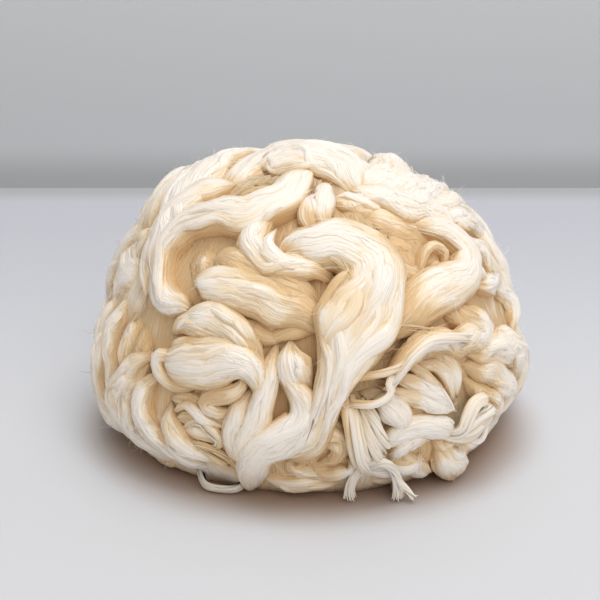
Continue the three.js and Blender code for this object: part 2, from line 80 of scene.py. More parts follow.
# The locks at the front and sides. Each row is one section: azimuth, latitude, lift of the crest
# above the dome and width, the last two in millimetres.
FRONT_LOCKS: dict[str, Rows] = {
    "crown": [[-60, 60, -5, 14], [-72, 68, -3, 22], [-90, 77, -1, 28], [0, 87, 2, 30],
     [46, 81, 1, 26], [42, 73, 0, 20], [34, 64, -3, 14]],
    "fall_top": [[-4, 80, -2, 10], [-11, 71, 1, 13], [-16, 62, 2, 15], [-27, 55.5, 3, 16],
     [-42, 53, 3, 15], [-53, 48, 2, 12], [-56, 40, 1, 10], [-52, 33, 0, 10], [-44, 28.5, 1, 11],
     [-36, 27.5, 2, 15]],
    "fall_end": [[-39, 26.5, 0, 12], [-30, 26.5, 3, 17], [-22, 25, 2, 13], [-15, 21.5, 1, 9],
     [-11, 16, -3, 6]],
    "branch": [[-16, 60, -1, 9], [-22, 53, 1, 13], [-23, 47, 1, 13], [-17, 43.5, 2, 12],
     [-8, 42, 2, 11], [2, 41, 1, 10], [9, 38, -4, 8]],
    "branch_ridge": [[-13, 53, -1, 4], [-14.5, 47, 2.5, 5], [-10, 43, 3, 5], [-2, 41.5, 2, 5],
     [4, 40, -1, 4]],
    "split_left": [[6, 67, -3, 5], [0.5, 61, 0, 7], [0, 56, 0, 8], [2, 51, -3, 8]],
    "split_right": [[16, 73, -3, 9], [8, 64, 0, 7], [5.5, 57, 0, 7], [7, 51, -3, 8]],
    "brow": [[7, 64.5, -5, 8], [16, 63.5, -3, 10], [25, 62, -3, 11], [36, 59, -4, 13],
     [46, 54, -5, 12]],
    "brow_low": [[12, 57.5, -9, 8], [20, 57.5, -8, 9], [29, 54, -8, 9]],
    "sweep": [[-14, 43.5, -4, 11], [-7, 47, 1, 16], [3, 47.5, 4, 20], [12, 46, 6, 22],
     [17, 42, 8, 23], [17, 37, 9, 24], [14.5, 31.5, 9, 27], [11, 26, 9, 28], [8, 20, 8, 22],
     [5.5, 14, 7, 14], [4, 9, 6, 10], [2.5, 3, 5, 10], [-1, -1.5, 4, 11], [-7, -4, 2, 11],
     [-12, -7, -2, 8]],
    "cheek_top": [[-37, 38, -6, 9], [-31, 42, -1, 13], [-22, 41, 1, 14], [-12, 38, 1, 13],
     [-3, 35.5, 0, 11], [5, 32, -5, 9]],
    "cheek": [[-36, 30.5, -4, 9], [-36, 34, 1, 12], [-28, 35.5, 3, 16], [-16, 34, 3, 17],
     [-7, 31.5, 2, 14], [1, 28.5, 0, 10], [6, 26, -5, 8]],
    "cheek_under": [[-19, 28.5, -6, 6], [-12, 27.5, -3, 8], [-4, 27.5, -5, 7]],
    "egg": [[-5, 25, -2, 8], [-5, 20, 2, 15], [-3, 13.5, 1, 12], [0.5, 7, -3, 8]],
    "roll_top": [[-42, 20, -3, 8], [-37.5, 22.5, 0, 9], [-32.5, 24, 1, 9], [-27, 24.5, 1, 9],
     [-21, 23.5, 1, 9], [-16.5, 21.5, 1, 8], [-13, 17, 0, 7]],
    "roll_ridge": [[-41, 17.5, -2, 6], [-36, 19, 1, 7], [-30, 20.5, 2, 7], [-24, 21.5, 2, 7],
     [-18, 20.5, 2, 7], [-14.5, 17, 1, 6]],
    "roll": [[-43.5, 12.5, -3, 9], [-39, 13.5, 1, 16], [-32, 15, 3.5, 19], [-25, 17, 4, 18],
     [-19.5, 18, 4, 15], [-15, 16.5, 3, 12], [-13, 13, 2, 9], [-13, 8, 0, 8]],
    "roll_curl": [[-16.5, 15.5, 0, 7], [-17.5, 12, 1, 7], [-21, 9.5, 1, 8], [-26.5, 7, 0, 7],
     [-27.5, 5, 0, 6], [-23.5, 4, 0, 6], [-18.5, 6, -2, 6]],
    "drop_left": [[-44.5, 13.5, -3, 6], [-49, 11.5, 0, 8], [-54, 6, 1, 10], [-58.5, -1, 2, 11],
     [-60, -8, 2, 11], [-58, -14, 1, 10], [-52, -18, 0, 8]],
    "drop_inner": [[-46, 12, -3, 5], [-50.5, 7, 0, 7], [-53.5, 1, 1, 9], [-54, -6, 2, 9],
     [-51, -12, 2, 9], [-45, -16, 1, 8], [-38, -18, 0, 7]],
    "drop_middle": [[-43, 11, -3, 6], [-46.5, 5.5, 0, 9], [-48, -1, 2, 10], [-46, -7, 2, 10],
     [-40, -11, 2, 10], [-33.5, -13.5, 1, 9], [-27.5, -17, 0, 8]],
    "drop_right": [[-40, 4, -3, 6], [-38.5, -1.5, 0, 8], [-35, -6, 1, 8], [-29, -9.5, 1, 8],
     [-24, -13, -1, 7]],
    "foot_left": [[-60, -14, -1, 8], [-53, -17, 1, 9], [-45, -19, 1, 9], [-37, -20, 0, 8]],
    "ripple": [[-40, 3, -4, 5], [-36, 4.5, -2, 6], [-31, 5.5, -2, 7], [-26.5, 4, -2, 7],
     [-20, 3.5, -3, 6]],
    "ripple_low": [[-38.5, -1, -3, 5], [-34, 1, -2, 7], [-29, 1.5, -1.5, 7], [-24.5, 1, -2, 7],
     [-19, 0.5, -3, 6]],
    "ripple_last": [[-36, -5, -3, 5], [-31, -4, -1.5, 7], [-26.5, -2.5, -1.5, 7],
     [-20.5, -2, -3, 6]],
    "limb_left": [[-14, 12, -4, 6], [-17, 6, 0, 9], [-19.5, 0, 1, 10], [-19, -6, 1, 10],
     [-17, -13, 0, 9]],
    "limb": [[-9, 24, -5, 5], [-9.5, 19, -1, 7], [-11, 12, 1, 8], [-12.5, 6, 2, 9],
     [-14.5, 0, 3, 11], [-17, -7, 2, 11], [-18, -14, 0, 9]],
    "heel": [[-8, 21, -4, 5], [-6, 15, 0, 7], [-3, 11, 3, 8], [-0.5, 7, 5, 11], [-2, 3, 6, 14],
     [-7, 0, 6, 15], [-12, -4, 5, 15], [-15, -10, 4, 13], [-17, -16, 3, 11], [-19, -21, 5, 9]],
    "slit_lock": [[-6, -5.5, -4, 6], [0, -4.5, -2, 8], [4, -4, -2, 8], [9, -6, -5, 6]],
    "base_curl": [[-4.5, -6.5, -4, 5], [-6, -10, 0, 7], [-2.5, -13, 0, 8], [3, -14, -1, 8],
     [9, -13, -4, 8], [15, -12, -9, 7]],
    "base_knot": [[19, -9, -1, 5], [21, -12.5, 1, 6], [25, -14, 2, 7], [29, -12.5, 2, 7],
     [30, -9, 0, 6]],
    "base_loop": [[1, -8, -3, 4], [1, -11, 0, 5], [4, -13, 1.5, 6], [8, -12.5, 2, 6],
     [11, -10, 1, 5], [9, -7.5, -2, 4]],
    "base": [[-14, -16, 1, 8], [-5, -18, 2, 9], [4, -18.5, 1, 9], [11, -18, -2, 8],
     [18, -16, -6, 6]],
    "knee": [[14, 8.5, -1, 7], [17.5, 8, 2, 11], [20.5, 5, 3, 13], [22, 1.5, 3, 11],
     [21, -1.5, 1, 7]],
    "basket": [[12, 10, -3, 10], [22, 6.5, -1.5, 14], [32, 2.5, -1.5, 14], [40, 0, -3, 10]],
    "fan": [[18, 14.5, -2.5, 5], [24.5, 12, 0.5, 7], [30, 8.5, 1.5, 7], [34, 5.5, 1.5, 6],
     [38.5, 1.5, 0.5, 4]],
    "fan_low": [[17, 11.5, -2.5, 5], [23, 9, 0.5, 7], [28.5, 6.5, 1.5, 6], [34, 3.5, 1.5, 5],
     [38.5, 1.5, 0.5, 4]],
    "fan_rim": [[24, 17, -4, 5], [27.5, 17.5, -2, 6], [34, 17.5, -1, 7], [38, 14.5, 0, 7],
     [40, 10, 0, 6], [40, 4, -1, 5]],
    "fan_inner": [[26, 15.5, -3.4, 5], [30, 15, -1.4, 6], [33.5, 14.5, -0.4, 6],
     [36, 11.5, 0.1, 6], [38, 7, -0.4, 6], [38.5, 3, -1.4, 4]],
    "fan_shell": [[23, 15.5, -3.2, 5], [26.5, 15, -1.2, 6], [29.5, 12.5, -0.7, 6],
     [33, 9, -0.2, 6], [36, 5, -0.2, 5], [38, 2, -1.2, 4]],
    "mantle": [[42, 51.5, -4, 9], [51, 49, 0, 11], [58, 43.5, 2, 12], [59.5, 37.5, 3, 13],
     [53, 33.5, 3, 16], [44, 32.5, 4, 18], [35, 31, 4, 19], [28, 28, 3, 16], [22, 24.5, 1, 11],
     [17, 21.5, -5, 8]],
    "mantle_rise": [[28, 71, -5, 9], [37, 66, -2, 12], [45, 60, -0.5, 14], [53, 54.5, 0.5, 14],
     [60, 48, 1, 12], [62, 42, 0, 9]],
    "mantle_loop": [[35, 35, -5, 3.4], [38, 39, -2, 4.2], [42, 42, -0.5, 4.2],
     [47.5, 42.5, 0, 4.2], [50, 40, 0, 4.2], [46, 36.5, -1, 4.2]],
    "slope": [[34, 26, -6, 8], [26, 23, -5, 10], [19, 19.5, -5, 10], [13, 17, -8, 8]],
    "shelf": [[41, 31, -4, 9], [43.5, 26.5, -1, 12], [48.5, 22.5, 1, 13], [52.5, 19.5, 1, 12],
     [49, 17, 1, 12], [43, 18.5, 2, 11], [36, 20.5, 4, 7], [29, 21, 5, 7], [24.5, 19, 5, 7],
     [21, 15.5, 4, 6], [19, 12.5, 2, 6], [18.5, 9.5, -1, 5]],
    "cloud_top": [[28, 67, -6, 12], [45, 68, -2, 18], [64, 68, 0, 20], [88, 66, 1, 20],
     [104, 60, -1, 14]],
    "cloud": [[34, 58, -4.5, 11], [48, 57, -1.5, 15], [62, 57, 0.5, 17], [78, 55, 1, 18],
     [94, 51, -1, 16], [104, 44, -3, 12]],
    "cloud_cover": [[38, 62, -5, 16], [54, 62, -1, 24], [74, 60, 0, 25], [94, 55, -1, 18]],
    "cloud_seam": [[44, 54, -4, 12], [58, 53.5, -0.5, 19], [74, 51, 0.5, 21], [88, 45, -0.5, 16],
     [96, 38, -3, 12]],
    "cloud_low": [[50, 50.5, -3, 9], [62, 50, 0, 13], [73, 47, 1, 15], [83, 41, 0.5, 14],
     [88, 33, -1, 12]],
    "ridge": [[58, 45, -3, 7], [66, 38.5, 0, 9], [71.5, 31, 0, 9], [75, 23, -1, 9]],
    "curl_low": [[56, 36.5, -1, 4], [59, 33.5, 1, 5], [62.5, 28.5, 0, 5]],
    "curl_high": [[60, 40, -1, 4], [64, 38.5, 1, 5], [68.5, 36, 1, 5], [71, 31, 0, 5]],
    "edge_right": [[53, 32.5, -4, 6], [60, 29.5, 0, 8], [68, 27.5, -1, 10], [76, 24, -3, 10],
     [79, 16, 0, 12], [74, 10, -1, 10]],
    "cushion": [[55, 15.5, -3, 9], [63, 13, 1, 13], [70, 7, 3, 15], [72, -1, 2, 14],
     [66, -8, -1, 11], [58, -11, -3, 8]],
    "hollow_lock": [[43, 12.5, -4, 7], [48, 9, -1, 10], [54.5, 6, 1, 12], [61, 0, 2, 12],
     [62, -6, 0, 10]],
    "cushion_high": [[43, 17, -3, 7], [49, 15, 0, 10], [58, 12, 2, 12], [67, 6, 2, 12],
     [70, -2, 0, 10]],
    "cushion_low": [[42.5, 8.5, -4, 6], [47.5, 4, -2, 9], [52.5, 0.5, 0, 11], [56, -5, 1, 10],
     [54, -10, -1, 8]],
    "fork_outer": [[51, -3, 0, 6], [50.5, -7.5, 2, 7], [47, -9.5, 3, 8], [42, -8.5, 3, 8],
     [37, -7, 0, 7]],
    "lap": [[40, -4, -2, 7], [38, -5, 1, 9], [32.5, -1.5, 2, 9], [28.5, 0, 2, 9], [24.5, 0, 1, 9],
     [21, -2, 1, 9], [18, -5, 0, 8], [16, -9, -2, 6]],
    "pouch": [[34, -5, -1, 7], [28.5, -3.5, 1, 8], [24.5, -4.5, 1.5, 8], [22.5, -8, 1, 8],
     [22, -12, -1, 7]],
    "foot_right": [[33, -6, -2, 8], [36, -10, 3, 12], [40, -14, 6, 14], [45, -18, 6, 13],
     [49, -20, 2, 9]],
    "foot_middle": [[24, -8, -2, 7], [27, -12, 1, 9], [31, -16, 3, 10], [36, -20, 3, 9]],
    "shoulder_outer": [[-108, 60, 1, 14], [-98, 53, 4.5, 17], [-91, 44, 1.5, 17],
     [-84, 36, -5, 14], [-73, 29, -6, 12], [-63, 24, -6, 10]],
    "shoulder": [[-60, 67, -2, 12], [-67, 59, 1, 17], [-69, 50, 1, 17], [-66, 42, 0, 17],
     [-61, 34, -3, 14], [-55, 27, -5, 11], [-48, 22, -7, 9]],
    "shoulder_inner": [[-47, 60, -5, 8], [-52, 56, -1, 10], [-59, 51, 0, 11], [-62, 43, -1, 10],
     [-58, 36, -3, 9], [-52, 29.5, -4, 9], [-45, 25.5, -5, 8]],
    "flank": [[-86, 31, -11, 11], [-83, 22, -9, 13], [-79, 13, -3, 14], [-74, 4, 2, 14],
     [-70, -5, 3, 13], [-62, -12, 1, 11]],
    "flank_inner": [[-71, 26, -7, 9], [-69, 18, -3, 12], [-68, 9, 0, 13], [-64, 1, 0, 12],
     [-60, -7, 0, 10]],
    "valley": [[-62, 26, -7, 8], [-59, 20, -4, 11], [-57, 13, -2, 12], [-58, 5, -3, 11],
     [-60, -2, -4, 9]],
    "valley_low": [[-54, 22, -5, 7], [-51, 16, -2, 10], [-50, 9, -2, 10], [-52, 2, -3, 8]],
}
# Thin twisted strands over the locks, in the same columns.
THIN_STRANDS: tuple[Rows, ...] = (
    [[34, 20, 4, 4], [27, 20, 4, 4], [22, 16.5, 4, 4], [17, 15.3, 3, 3.5], [12, 15, 3, 3],
     [8, 14, 2, 2.5]],
    [[20, 14.5, 3, 3], [18.3, 13, 4, 3], [18.7, 11, 4, 3.5], [16, 9, 4, 3.5], [12.5, 8.5, 3, 3.5],
     [9, 9, 1, 3]],
    [[43, 19, 3, 3], [36, 20.5, 6, 4], [29, 21, 7, 4], [24, 18.5, 7, 3.5], [21, 15, 5, 3],
     [18, 11, 2, 3]],
    [[-35, -8, -3, 2.5], [-29, -6, -2, 3], [-23, -8, -2, 3], [-19, -12, -2, 2.5]],
    [[-31, -5.5, -3, 2.5], [-27, -9, -2, 3], [-22, -13, -2, 3]],
    [[8.5, 10, -2.5, 6], [9.5, 4.5, 0.5, 7.5], [10.5, -1, 1.5, 8], [12, -6, 0.5, 8],
     [14.5, -10, -1.5, 7]],
    [[11.5, 9, -2.5, 4], [13, 3, 0.5, 5], [15.5, -3.5, 1.5, 6], [17, -7, -0.5, 5]],
    [[13, 8.5, -2.5, 4], [14.5, 5.5, 0.5, 4.5], [16.5, 0, 1.5, 5], [18, -3.5, -0.5, 5]],
    [[51, -1, -6, 5], [48.5, 1.5, -2, 6], [45.5, 3, 1, 7], [42.5, 3, 1.8, 7], [40.5, 0.5, 1.8, 7],
     [39, -3, 1.5, 7], [37, -5, -2, 6], [35, -6.5, -6, 5]],
    [[53, -2, -6, 6], [50, -1, -2, 7], [47.5, -1, 1, 8.5], [44, -2, 2, 9], [40.5, -4.5, 1.5, 8.5],
     [37, -5.5, -2, 7], [34, -6, -6, 5]],
)
# Thinner locks that lie over and between the ones above, in the same columns.
EXTRA_LOCKS: dict[str, Rows] = {
    "roll_lip": [[-36, 12, -1, 5], [-39.5, 15.5, 1, 6], [-42.5, 14.5, 1, 6], [-42, 11, 0.5, 6],
     [-37, 9, 0, 6], [-30, 8.5, -1, 6]],
    "pale_lobe": [[32, -5, -3, 6], [36, -8, 1, 8], [39, -8.5, 1, 8], [42, -9, -2, 6]],
    "pink_lobe": [[24, 40, -5, 7], [29, 40.5, -1.5, 9], [33, 37.5, -1.5, 9], [34, 33, -4, 8]],
    "mantle_fill": [[38, 34, -7, 8], [42, 38, -5, 11], [48, 41, -4, 11], [54, 42, -5, 9]],
    "hollow_fill": [[-52, 44, -7, 10], [-44, 42, -5, 14], [-38, 35, -5, 13], [-40, 30, -6, 10]],
    "hollow_fill_right": [[14, 55, -8, 10], [24, 51, -6, 14], [32, 45.5, -7, 12],
     [33, 38, -8, 10]],
    "hollow_slope": [[23, 60.5, -6, 10], [32, 58, -3.5, 17], [42, 54, -3.5, 19],
     [50, 48, -3.5, 15], [55, 42, -5, 8]],
    "hollow_bank": [[25, 55.5, -8, 10], [32, 52.5, -6, 14], [39, 48.5, -6, 15], [45, 43.5, -6, 12],
     [48, 39, -7, 8]],
    "crown_fill": [[-54, 62, -6, 9], [-42, 65, -4, 13], [-29, 66.5, -4, 13], [-17, 66.5, -6, 9]],
    "cheek_fold": [[-29, 29.5, -5, 6], [-21, 27, -2.5, 8], [-13, 24.5, -2.5, 8], [-6, 24, -4, 6]],
    "cheek_fold_low": [[-14, 20.5, -5, 5], [-10, 24, -3, 6], [-3, 26.5, -2.5, 7],
     [5, 26.5, -5, 5]],
    "ripple_between": [[-38, 1, -2.5, 4], [-32, 3.5, -0.5, 5], [-26, 2.2, -0.5, 5],
     [-21, -0.5, -2, 4]],
    "ripple_turn": [[-35, -3, -2.5, 4], [-29, -0.5, -0.5, 5], [-24.5, -2.5, -0.3, 5],
     [-24, -6, -0.5, 5], [-28, -7.5, -2, 4]],
    "ripple_foot": [[-40, -5.5, -3, 5], [-33, -7, -1, 6], [-27, -10, -1, 6], [-22, -15, -2, 5]],
    "base_lobe": [[-3, -5.5, -2, 5], [-1, -2.5, 0, 7], [1.5, -0.5, 1, 8], [5, -1, 1, 8],
     [6.5, -3.5, 1, 7], [5, -7, 1, 7], [1.5, -9, 0, 6]],
    "base_top": [[0.5, -1, -4, 6], [3, 1.5, -1.5, 8], [6, 2, -1, 8], [8, 0, -1, 8],
     [9.5, -3.5, -3, 6]],
    "hollow_fill_low": [[20, 26, -8, 9], [28, 25, -6, 12], [36, 25, -6, 10]],
    "hollow_fill_foot": [[-33, 7, -6, 9], [-27, 0, -6, 12], [-27, -7, -6, 11], [-26, -13, -5, 9]],
    "hollow_fill_heel": [[-10, 0, -7, 8], [-8, -9, -5, 10], [-1, -10, -5, 10], [6, -8, -6, 9]],
    "base_right": [[10, -15, 0, 7], [17, -13, 1, 9], [24, -14, 1, 9], [31, -12, 0, 8]],
    "base_right_low": [[13, -19, 0, 7], [20, -18, 1, 8], [27, -18.5, 1, 8], [34, -17, 0, 7]],
    "tuft_left": [[-70, 45, -3, 8], [-76, 38, -2, 10], [-80, 30, -5, 9]],
    "tuft_right": [[64, 52, 0, 8], [70, 46, 1, 9], [78, 42, 0, 8], [82, 36, -2, 7]],
}
# The locks at the back, laid crossing one another from the table up to the crown.
BACK_LOCKS: tuple[Walk, ...] = tuple(Walk(*row) for row in (
    (88, -8, 10, 70, 100, 24, -3), (83, 6, 20, -50, 80, 22, -1), (101, 4, -20, 60, 85, 24, 0),
    (78, -15, 80, -40, 95, 18, 4), (92, 20, 140, -110, 110, 24, -3),
    (96, 47, 120, -90, 105, 24, 0), (108, -9, 30, 85, 115, 25, 2), (114, -17, 80, 20, 105, 17, 4),
    (122, 30, 95, 60, 105, 28, 2), (142, -2, 110, -100, 110, 24, 3), (132, 60, 95, 50, 105, 26, 3),
    (148, 13, 50, 60, 100, 27, 1), (164, -17, 92, -15, 110, 18, 4),
    (174, 44, 205, -130, 115, 26, 4), (190, -6, 25, 100, 120, 26, 2),
    (190, 54, 70, 70, 110, 28, 2), (200, 24, 70, 50, 100, 28, 3), (212, -17, 85, 15, 105, 18, 4),
    (220, 0, 80, -80, 110, 25, 2), (228, 44, 130, -60, 95, 26, -2), (246, -13, 15, 50, 95, 22, -3),
    (246, 58, 140, 40, 95, 24, -4), (250, 22, 120, -70, 90, 24, -7), (258, -16, 75, 30, 75, 16, 4),
    (120, 76, 80, -50, 110, 30, 1), (77, -18, 10, 30, 55, 17, -1), (68, -16, 60, -60, 60, 15, 0),
    (112, 46, 60, 40, 80, 22, -3), (98, -12, 70, 30, 90, 20, -1), (126, 16, 40, 40, 80, 20, -2),
    (230, -12, 60, -40, 90, 22, 0), (236, 6, 85, 20, 90, 20, -1), (242, 34, 100, 60, 75, 20, -3),
    (264, -14, 20, 40, 60, 18, 0), (277, -12, 15, -40, 60, 17, -1),
))

# Lines of the loose end and of the small handles of fibre: x, y and z in millimetres, from under
# the dome's middle.
LOOSE_END_ROUTE: Rows = [
    [32.7, -77.5, 0.4], [32.7, -78.2, 5.8], [31.5, -80, 11.7], [29.1, -82.5, 16.6],
    [25.3, -84, 18.8], [21, -82.5, 16.6], [17.1, -80, 12.1], [15, -78.2, 6.6], [14.7, -77.5, 0.6],
]
HANDLE_ROUTE: Rows = [
    [-42, -56, 10], [-42, -65, 5], [-39.5, -70, 2.2], [-34, -72, 1.6],
    [-28, -72, 1.9], [-24, -68, 4], [-23, -60, 9],
]
ROOT_ROUTE: Rows = [[30, -54, 6], [31.5, -64, 3], [32.7, -76, 2.2]]
TIP_ROUTE: Rows = [[30.5, -80, 12], [33, -79.5, 8.5], [36, -79, 5], [38.5, -79, 1.6]]

# Places painted with warm shade, for light that comes back warm from deep in the fibre: azimuth,
# latitude, reach in degrees and how strong.
WARM_SHADE_PLACES: Rows = [
    [-40, 66, 5, 1], [-34, 60, 4, 0.9], [26, 6.5, 3, 1.2], [43, 6, 4, 1.1], [11, 12, 4, 1.1],
    [24, 17, 3, 1], [52, 27, 5, 1], [-6, 56, 5, 1.3], [-36, 47, 7, 0.8], [-41, 37, 6, 0.8],
    [-32, 64, 6, 0.8], [-22, 71, 5, 0.6], [31, 48, 5, 1.2], [40, 44, 6, 1], [-20, 38, 5, 1],
    [-9, 36, 5, 1], [7, 33, 4, 0.8], [17, 53, 5, 0.7], [-13, 29, 5, 0.7], [-3, 26, 5, 0.8],
    [-13, 22, 4, 0.8], [-24, 11, 6, 0.8], [-35, 6, 5, 0.9], [-26, -5, 6, 0.7], [-22, -11, 4, 0.8],
    [-50, 17, 7, 0.6], [32, 24, 7, 0.9], [22, 22, 5, 1], [16, 20, 4, 0.7], [13, 16, 4, 0.6],
    [24, 16, 4, 0.7], [29, 4, 4, 0.7], [19, -2, 4, 0.6], [6, 1, 5, 0.9], [6, -8, 4, 1.2],
    [-7, -8, 4, 0.8], [44, 12, 7, 0.9], [51, 1, 5, 0.8], [30, -8, 5, 0.6],
]
# Places painted with more warm shade all over: azimuth, latitude, reach in degrees and how much.
SHADE_TINT_PLACES: Rows = [
    [-20, 33, 11, 0.46], [-35, 35, 6, 0.1], [-5, 31, 8, 0.25], [12, 30, 8, 0.34],
    [40, 32, 10, 0.22], [30, 42, 8, 0.55], [-35, 13, 12, 0.18], [-28, 18, 9, 0.36],
    [2.5, -10, 8, 0.45], [-58, 10, 14, 0.2], [-60, 30, 12, 0.12], [5, -14, 10, 0.25],
    [14, 52, 7, 0.15], [-38, 66, 8, 0.2], [38, 52, 7, 0.15],
]

# Locks that get less painted shade than their depth gives them, and how much is taken off the
# painted shade of their grooves.
LESS_SHADED_LOCKS: dict[str, float] = {
    **dict.fromkeys(("knee", "egg"), 0.9),
    **dict.fromkeys((
        "fan", "fan_low", "fan_rim", "fan_inner", "fan_shell", "basket", "split_left",
        "split_right", "base_lobe", "pouch", "lap", "foot_middle"), 0.6),
    **dict.fromkeys((
        "heel", "limb", "limb_left", "ripple", "ripple_low", "ripple_last", "ripple_between",
        "ripple_turn", "base_curl", "base_loop", "base_knot", "pink_lobe", "hollow_fill"), 0.4),
}


class Weave(Enum):
    """How the fibre of a lock lies."""

    SILKY = "silky"
    FLUFFY = "fluffy"
    RIPPLED = "rippled"
    SMOOTH = "smooth"
    THREAD = "thread"


@dataclass(frozen=True)
class Comb:
    """The relief of a lock. Heights, pitches, run and wander are in metres, and proud, by which its
    sub-locks stand out, is in millimetres."""

    lobe: float = 0.8 * MM
    lobe_pitch: float = 4.4 * MM
    ridge: float = 0.28 * MM
    ridge_pitch: float = 2.2 * MM
    hair: float = 0.06 * MM
    hair_pitch: float = 1.1 * MM
    run: float = 26 * MM
    crimp: float = 0.15 * MM
    crimp_pitch: float = 7 * MM
    wander: float = 1.2 * MM
    flatness: float = 0.6
    fuzz: float = 1.0
    proud: float = 1.1


COMBS: dict[Weave, Comb] = {
    Weave.SILKY: Comb(),
    Weave.FLUFFY: Comb(lobe=0.65 * MM, ridge=0.25 * MM, run=20 * MM, crimp=0.6 * MM,
                       crimp_pitch=9 * MM, wander=2.2 * MM, fuzz=2.4, proud=0.7),
    Weave.RIPPLED: Comb(run=18 * MM, crimp=0.6 * MM, crimp_pitch=8 * MM, wander=2.0 * MM,
                        fuzz=1.6, proud=0.9),
    Weave.SMOOTH: Comb(lobe=0.45 * MM, ridge=0.2 * MM, wander=0.8 * MM, fuzz=1.1, proud=0.45),
    Weave.THREAD: Comb(lobe=0.3 * MM, ridge=0.25 * MM, hair=0.1 * MM, wander=0.6 * MM, fuzz=2.2),
}
# The weave of each lock that isn't silky.
WEAVES: dict[str, Weave] = {
    **dict.fromkeys((
        "cloud_top", "cloud", "cloud_low", "cloud_cover", "cloud_seam", "valley", "valley_low",
        "brow", "brow_low", "cushion", "cushion_high", "cushion_low", "shelf", "flank",
        "flank_inner", "hollow_lock", "slope", "hollow_fill", "hollow_fill_low",
        "hollow_fill_foot", "hollow_fill_heel", "tuft_left", "tuft_right", "pink_lobe",
        "mantle_rise", "basket", "roll_top"), Weave.FLUFFY),
    **dict.fromkeys((
        "ripple", "ripple_low", "ripple_last", "ripple_between", "ripple_turn", "ripple_foot",
        "drop_left", "drop_inner", "drop_middle", "drop_right", "edge_right", "ridge",
        "foot_left", "foot_right", "foot_middle", "base", "base_loop", "base_knot", "base_lobe",
        "base_top", "cheek_fold", "cheek_fold_low"), Weave.RIPPLED),
    **dict.fromkeys((
        "roll", "roll_ridge", "roll_lip", "roll_curl", "lap", "pouch", "knee", "heel", "limb",
        "limb_left", "mantle", "hollow_slope", "hollow_bank", "hollow_fill_right",
        "crown_fill"), Weave.SMOOTH),
    **dict.fromkeys((
        "slit_lock", "mantle_loop", "branch_ridge", "fan", "fan_low", "fan_rim", "fan_inner",
        "fan_shell"), Weave.THREAD),
}


def hills(seed: int, across: Array, along: Array) -> Array:
    """Smooth random hills.

    Random heights from -1 to 1 stand at the whole numbers of both coordinates. A point takes the
    mix of the four around it, weighted by 3t^2 - 2t^3 of its distance from each.

    Args:
        seed: Names the table of heights.
        across: First coordinate.
        along: Second coordinate, of a shape that spreads over that of the first.

    Returns:
        The heights.
    """
    size = 128
    table = np.random.default_rng(seed).uniform(-1.0, 1.0, (size, size))
    i, j = np.floor(across).astype(int), np.floor(along).astype(int)
    s, t = across - i, along - j
    s, t = s * s * (3 - 2 * s), t * t * (3 - 2 * t)
    i0, i1, j0, j1 = i % size, (i + 1) % size, j % size, (j + 1) % size
    near = table[i0, j0] * (1 - t) + table[i0, j1] * t
    far = table[i1, j0] * (1 - t) + table[i1, j1] * t
    return near * (1 - s) + far * s


def ridges(seed: int, across: Array, along: Array) -> Array:
    """Rounded ridges with narrow grooves: twice sqrt(hills^2 + 0.03), less its mean."""
    mean = 0.76
    return 2 * np.sqrt(hills(seed, across, along) ** 2 + 0.03) - mean


def unit(vectors: Array) -> Array:
    """The vectors at length one."""
    return vectors / (np.linalg.norm(vectors, axis=-1, keepdims=True) + 1e-12)


def grown(value: Array, start: float, reach: float) -> Array:
    """From 0 at the start to 1 a reach further on."""
    return np.clip((value - start) / reach, 0, 1)


def travelled(line: Array) -> Array:
    """The distance from the start of a line to each of its points."""
    return np.concatenate([[0.0], np.cumsum(np.linalg.norm(np.diff(line, axis=0), axis=1))])


def bilinear(grid: Array, row: Array, column: Array) -> Array:
    """Values of a grid between its places: the mix of the four around each.

    Args:
        grid: The values, as row, column, part.
        row: The row of each wanted place, with its fraction.
        column: The column of each wanted place, with its fraction.

    Returns:
        The values, of the shape of the places and with the grid's parts.
    """
    i = np.clip(np.floor(row).astype(int), 0, grid.shape[0] - 2)
    j = np.clip(np.floor(column).astype(int), 0, grid.shape[1] - 2)
    s, t = (row - i)[..., None], (column - j)[..., None]
    return ((1 - s) * ((1 - t) * grid[i, j] + t * grid[i, j + 1])
            + s * ((1 - t) * grid[i + 1, j] + t * grid[i + 1, j + 1]))


def smoothed(line: Array, rounds: int) -> Array:
    """A line smoothed along its first axis, with its ends kept.

    Args:
        line: The values.
        rounds: Rounds of the mean of each place, twice, and its two neighbours.

    Returns:
        The smoothed values.
    """
    for _ in range(rounds):
        line = np.concatenate([line[:1], (line[:-2] + 2 * line[1:-1] + line[2:]) / 4, line[-1:]])
    return line


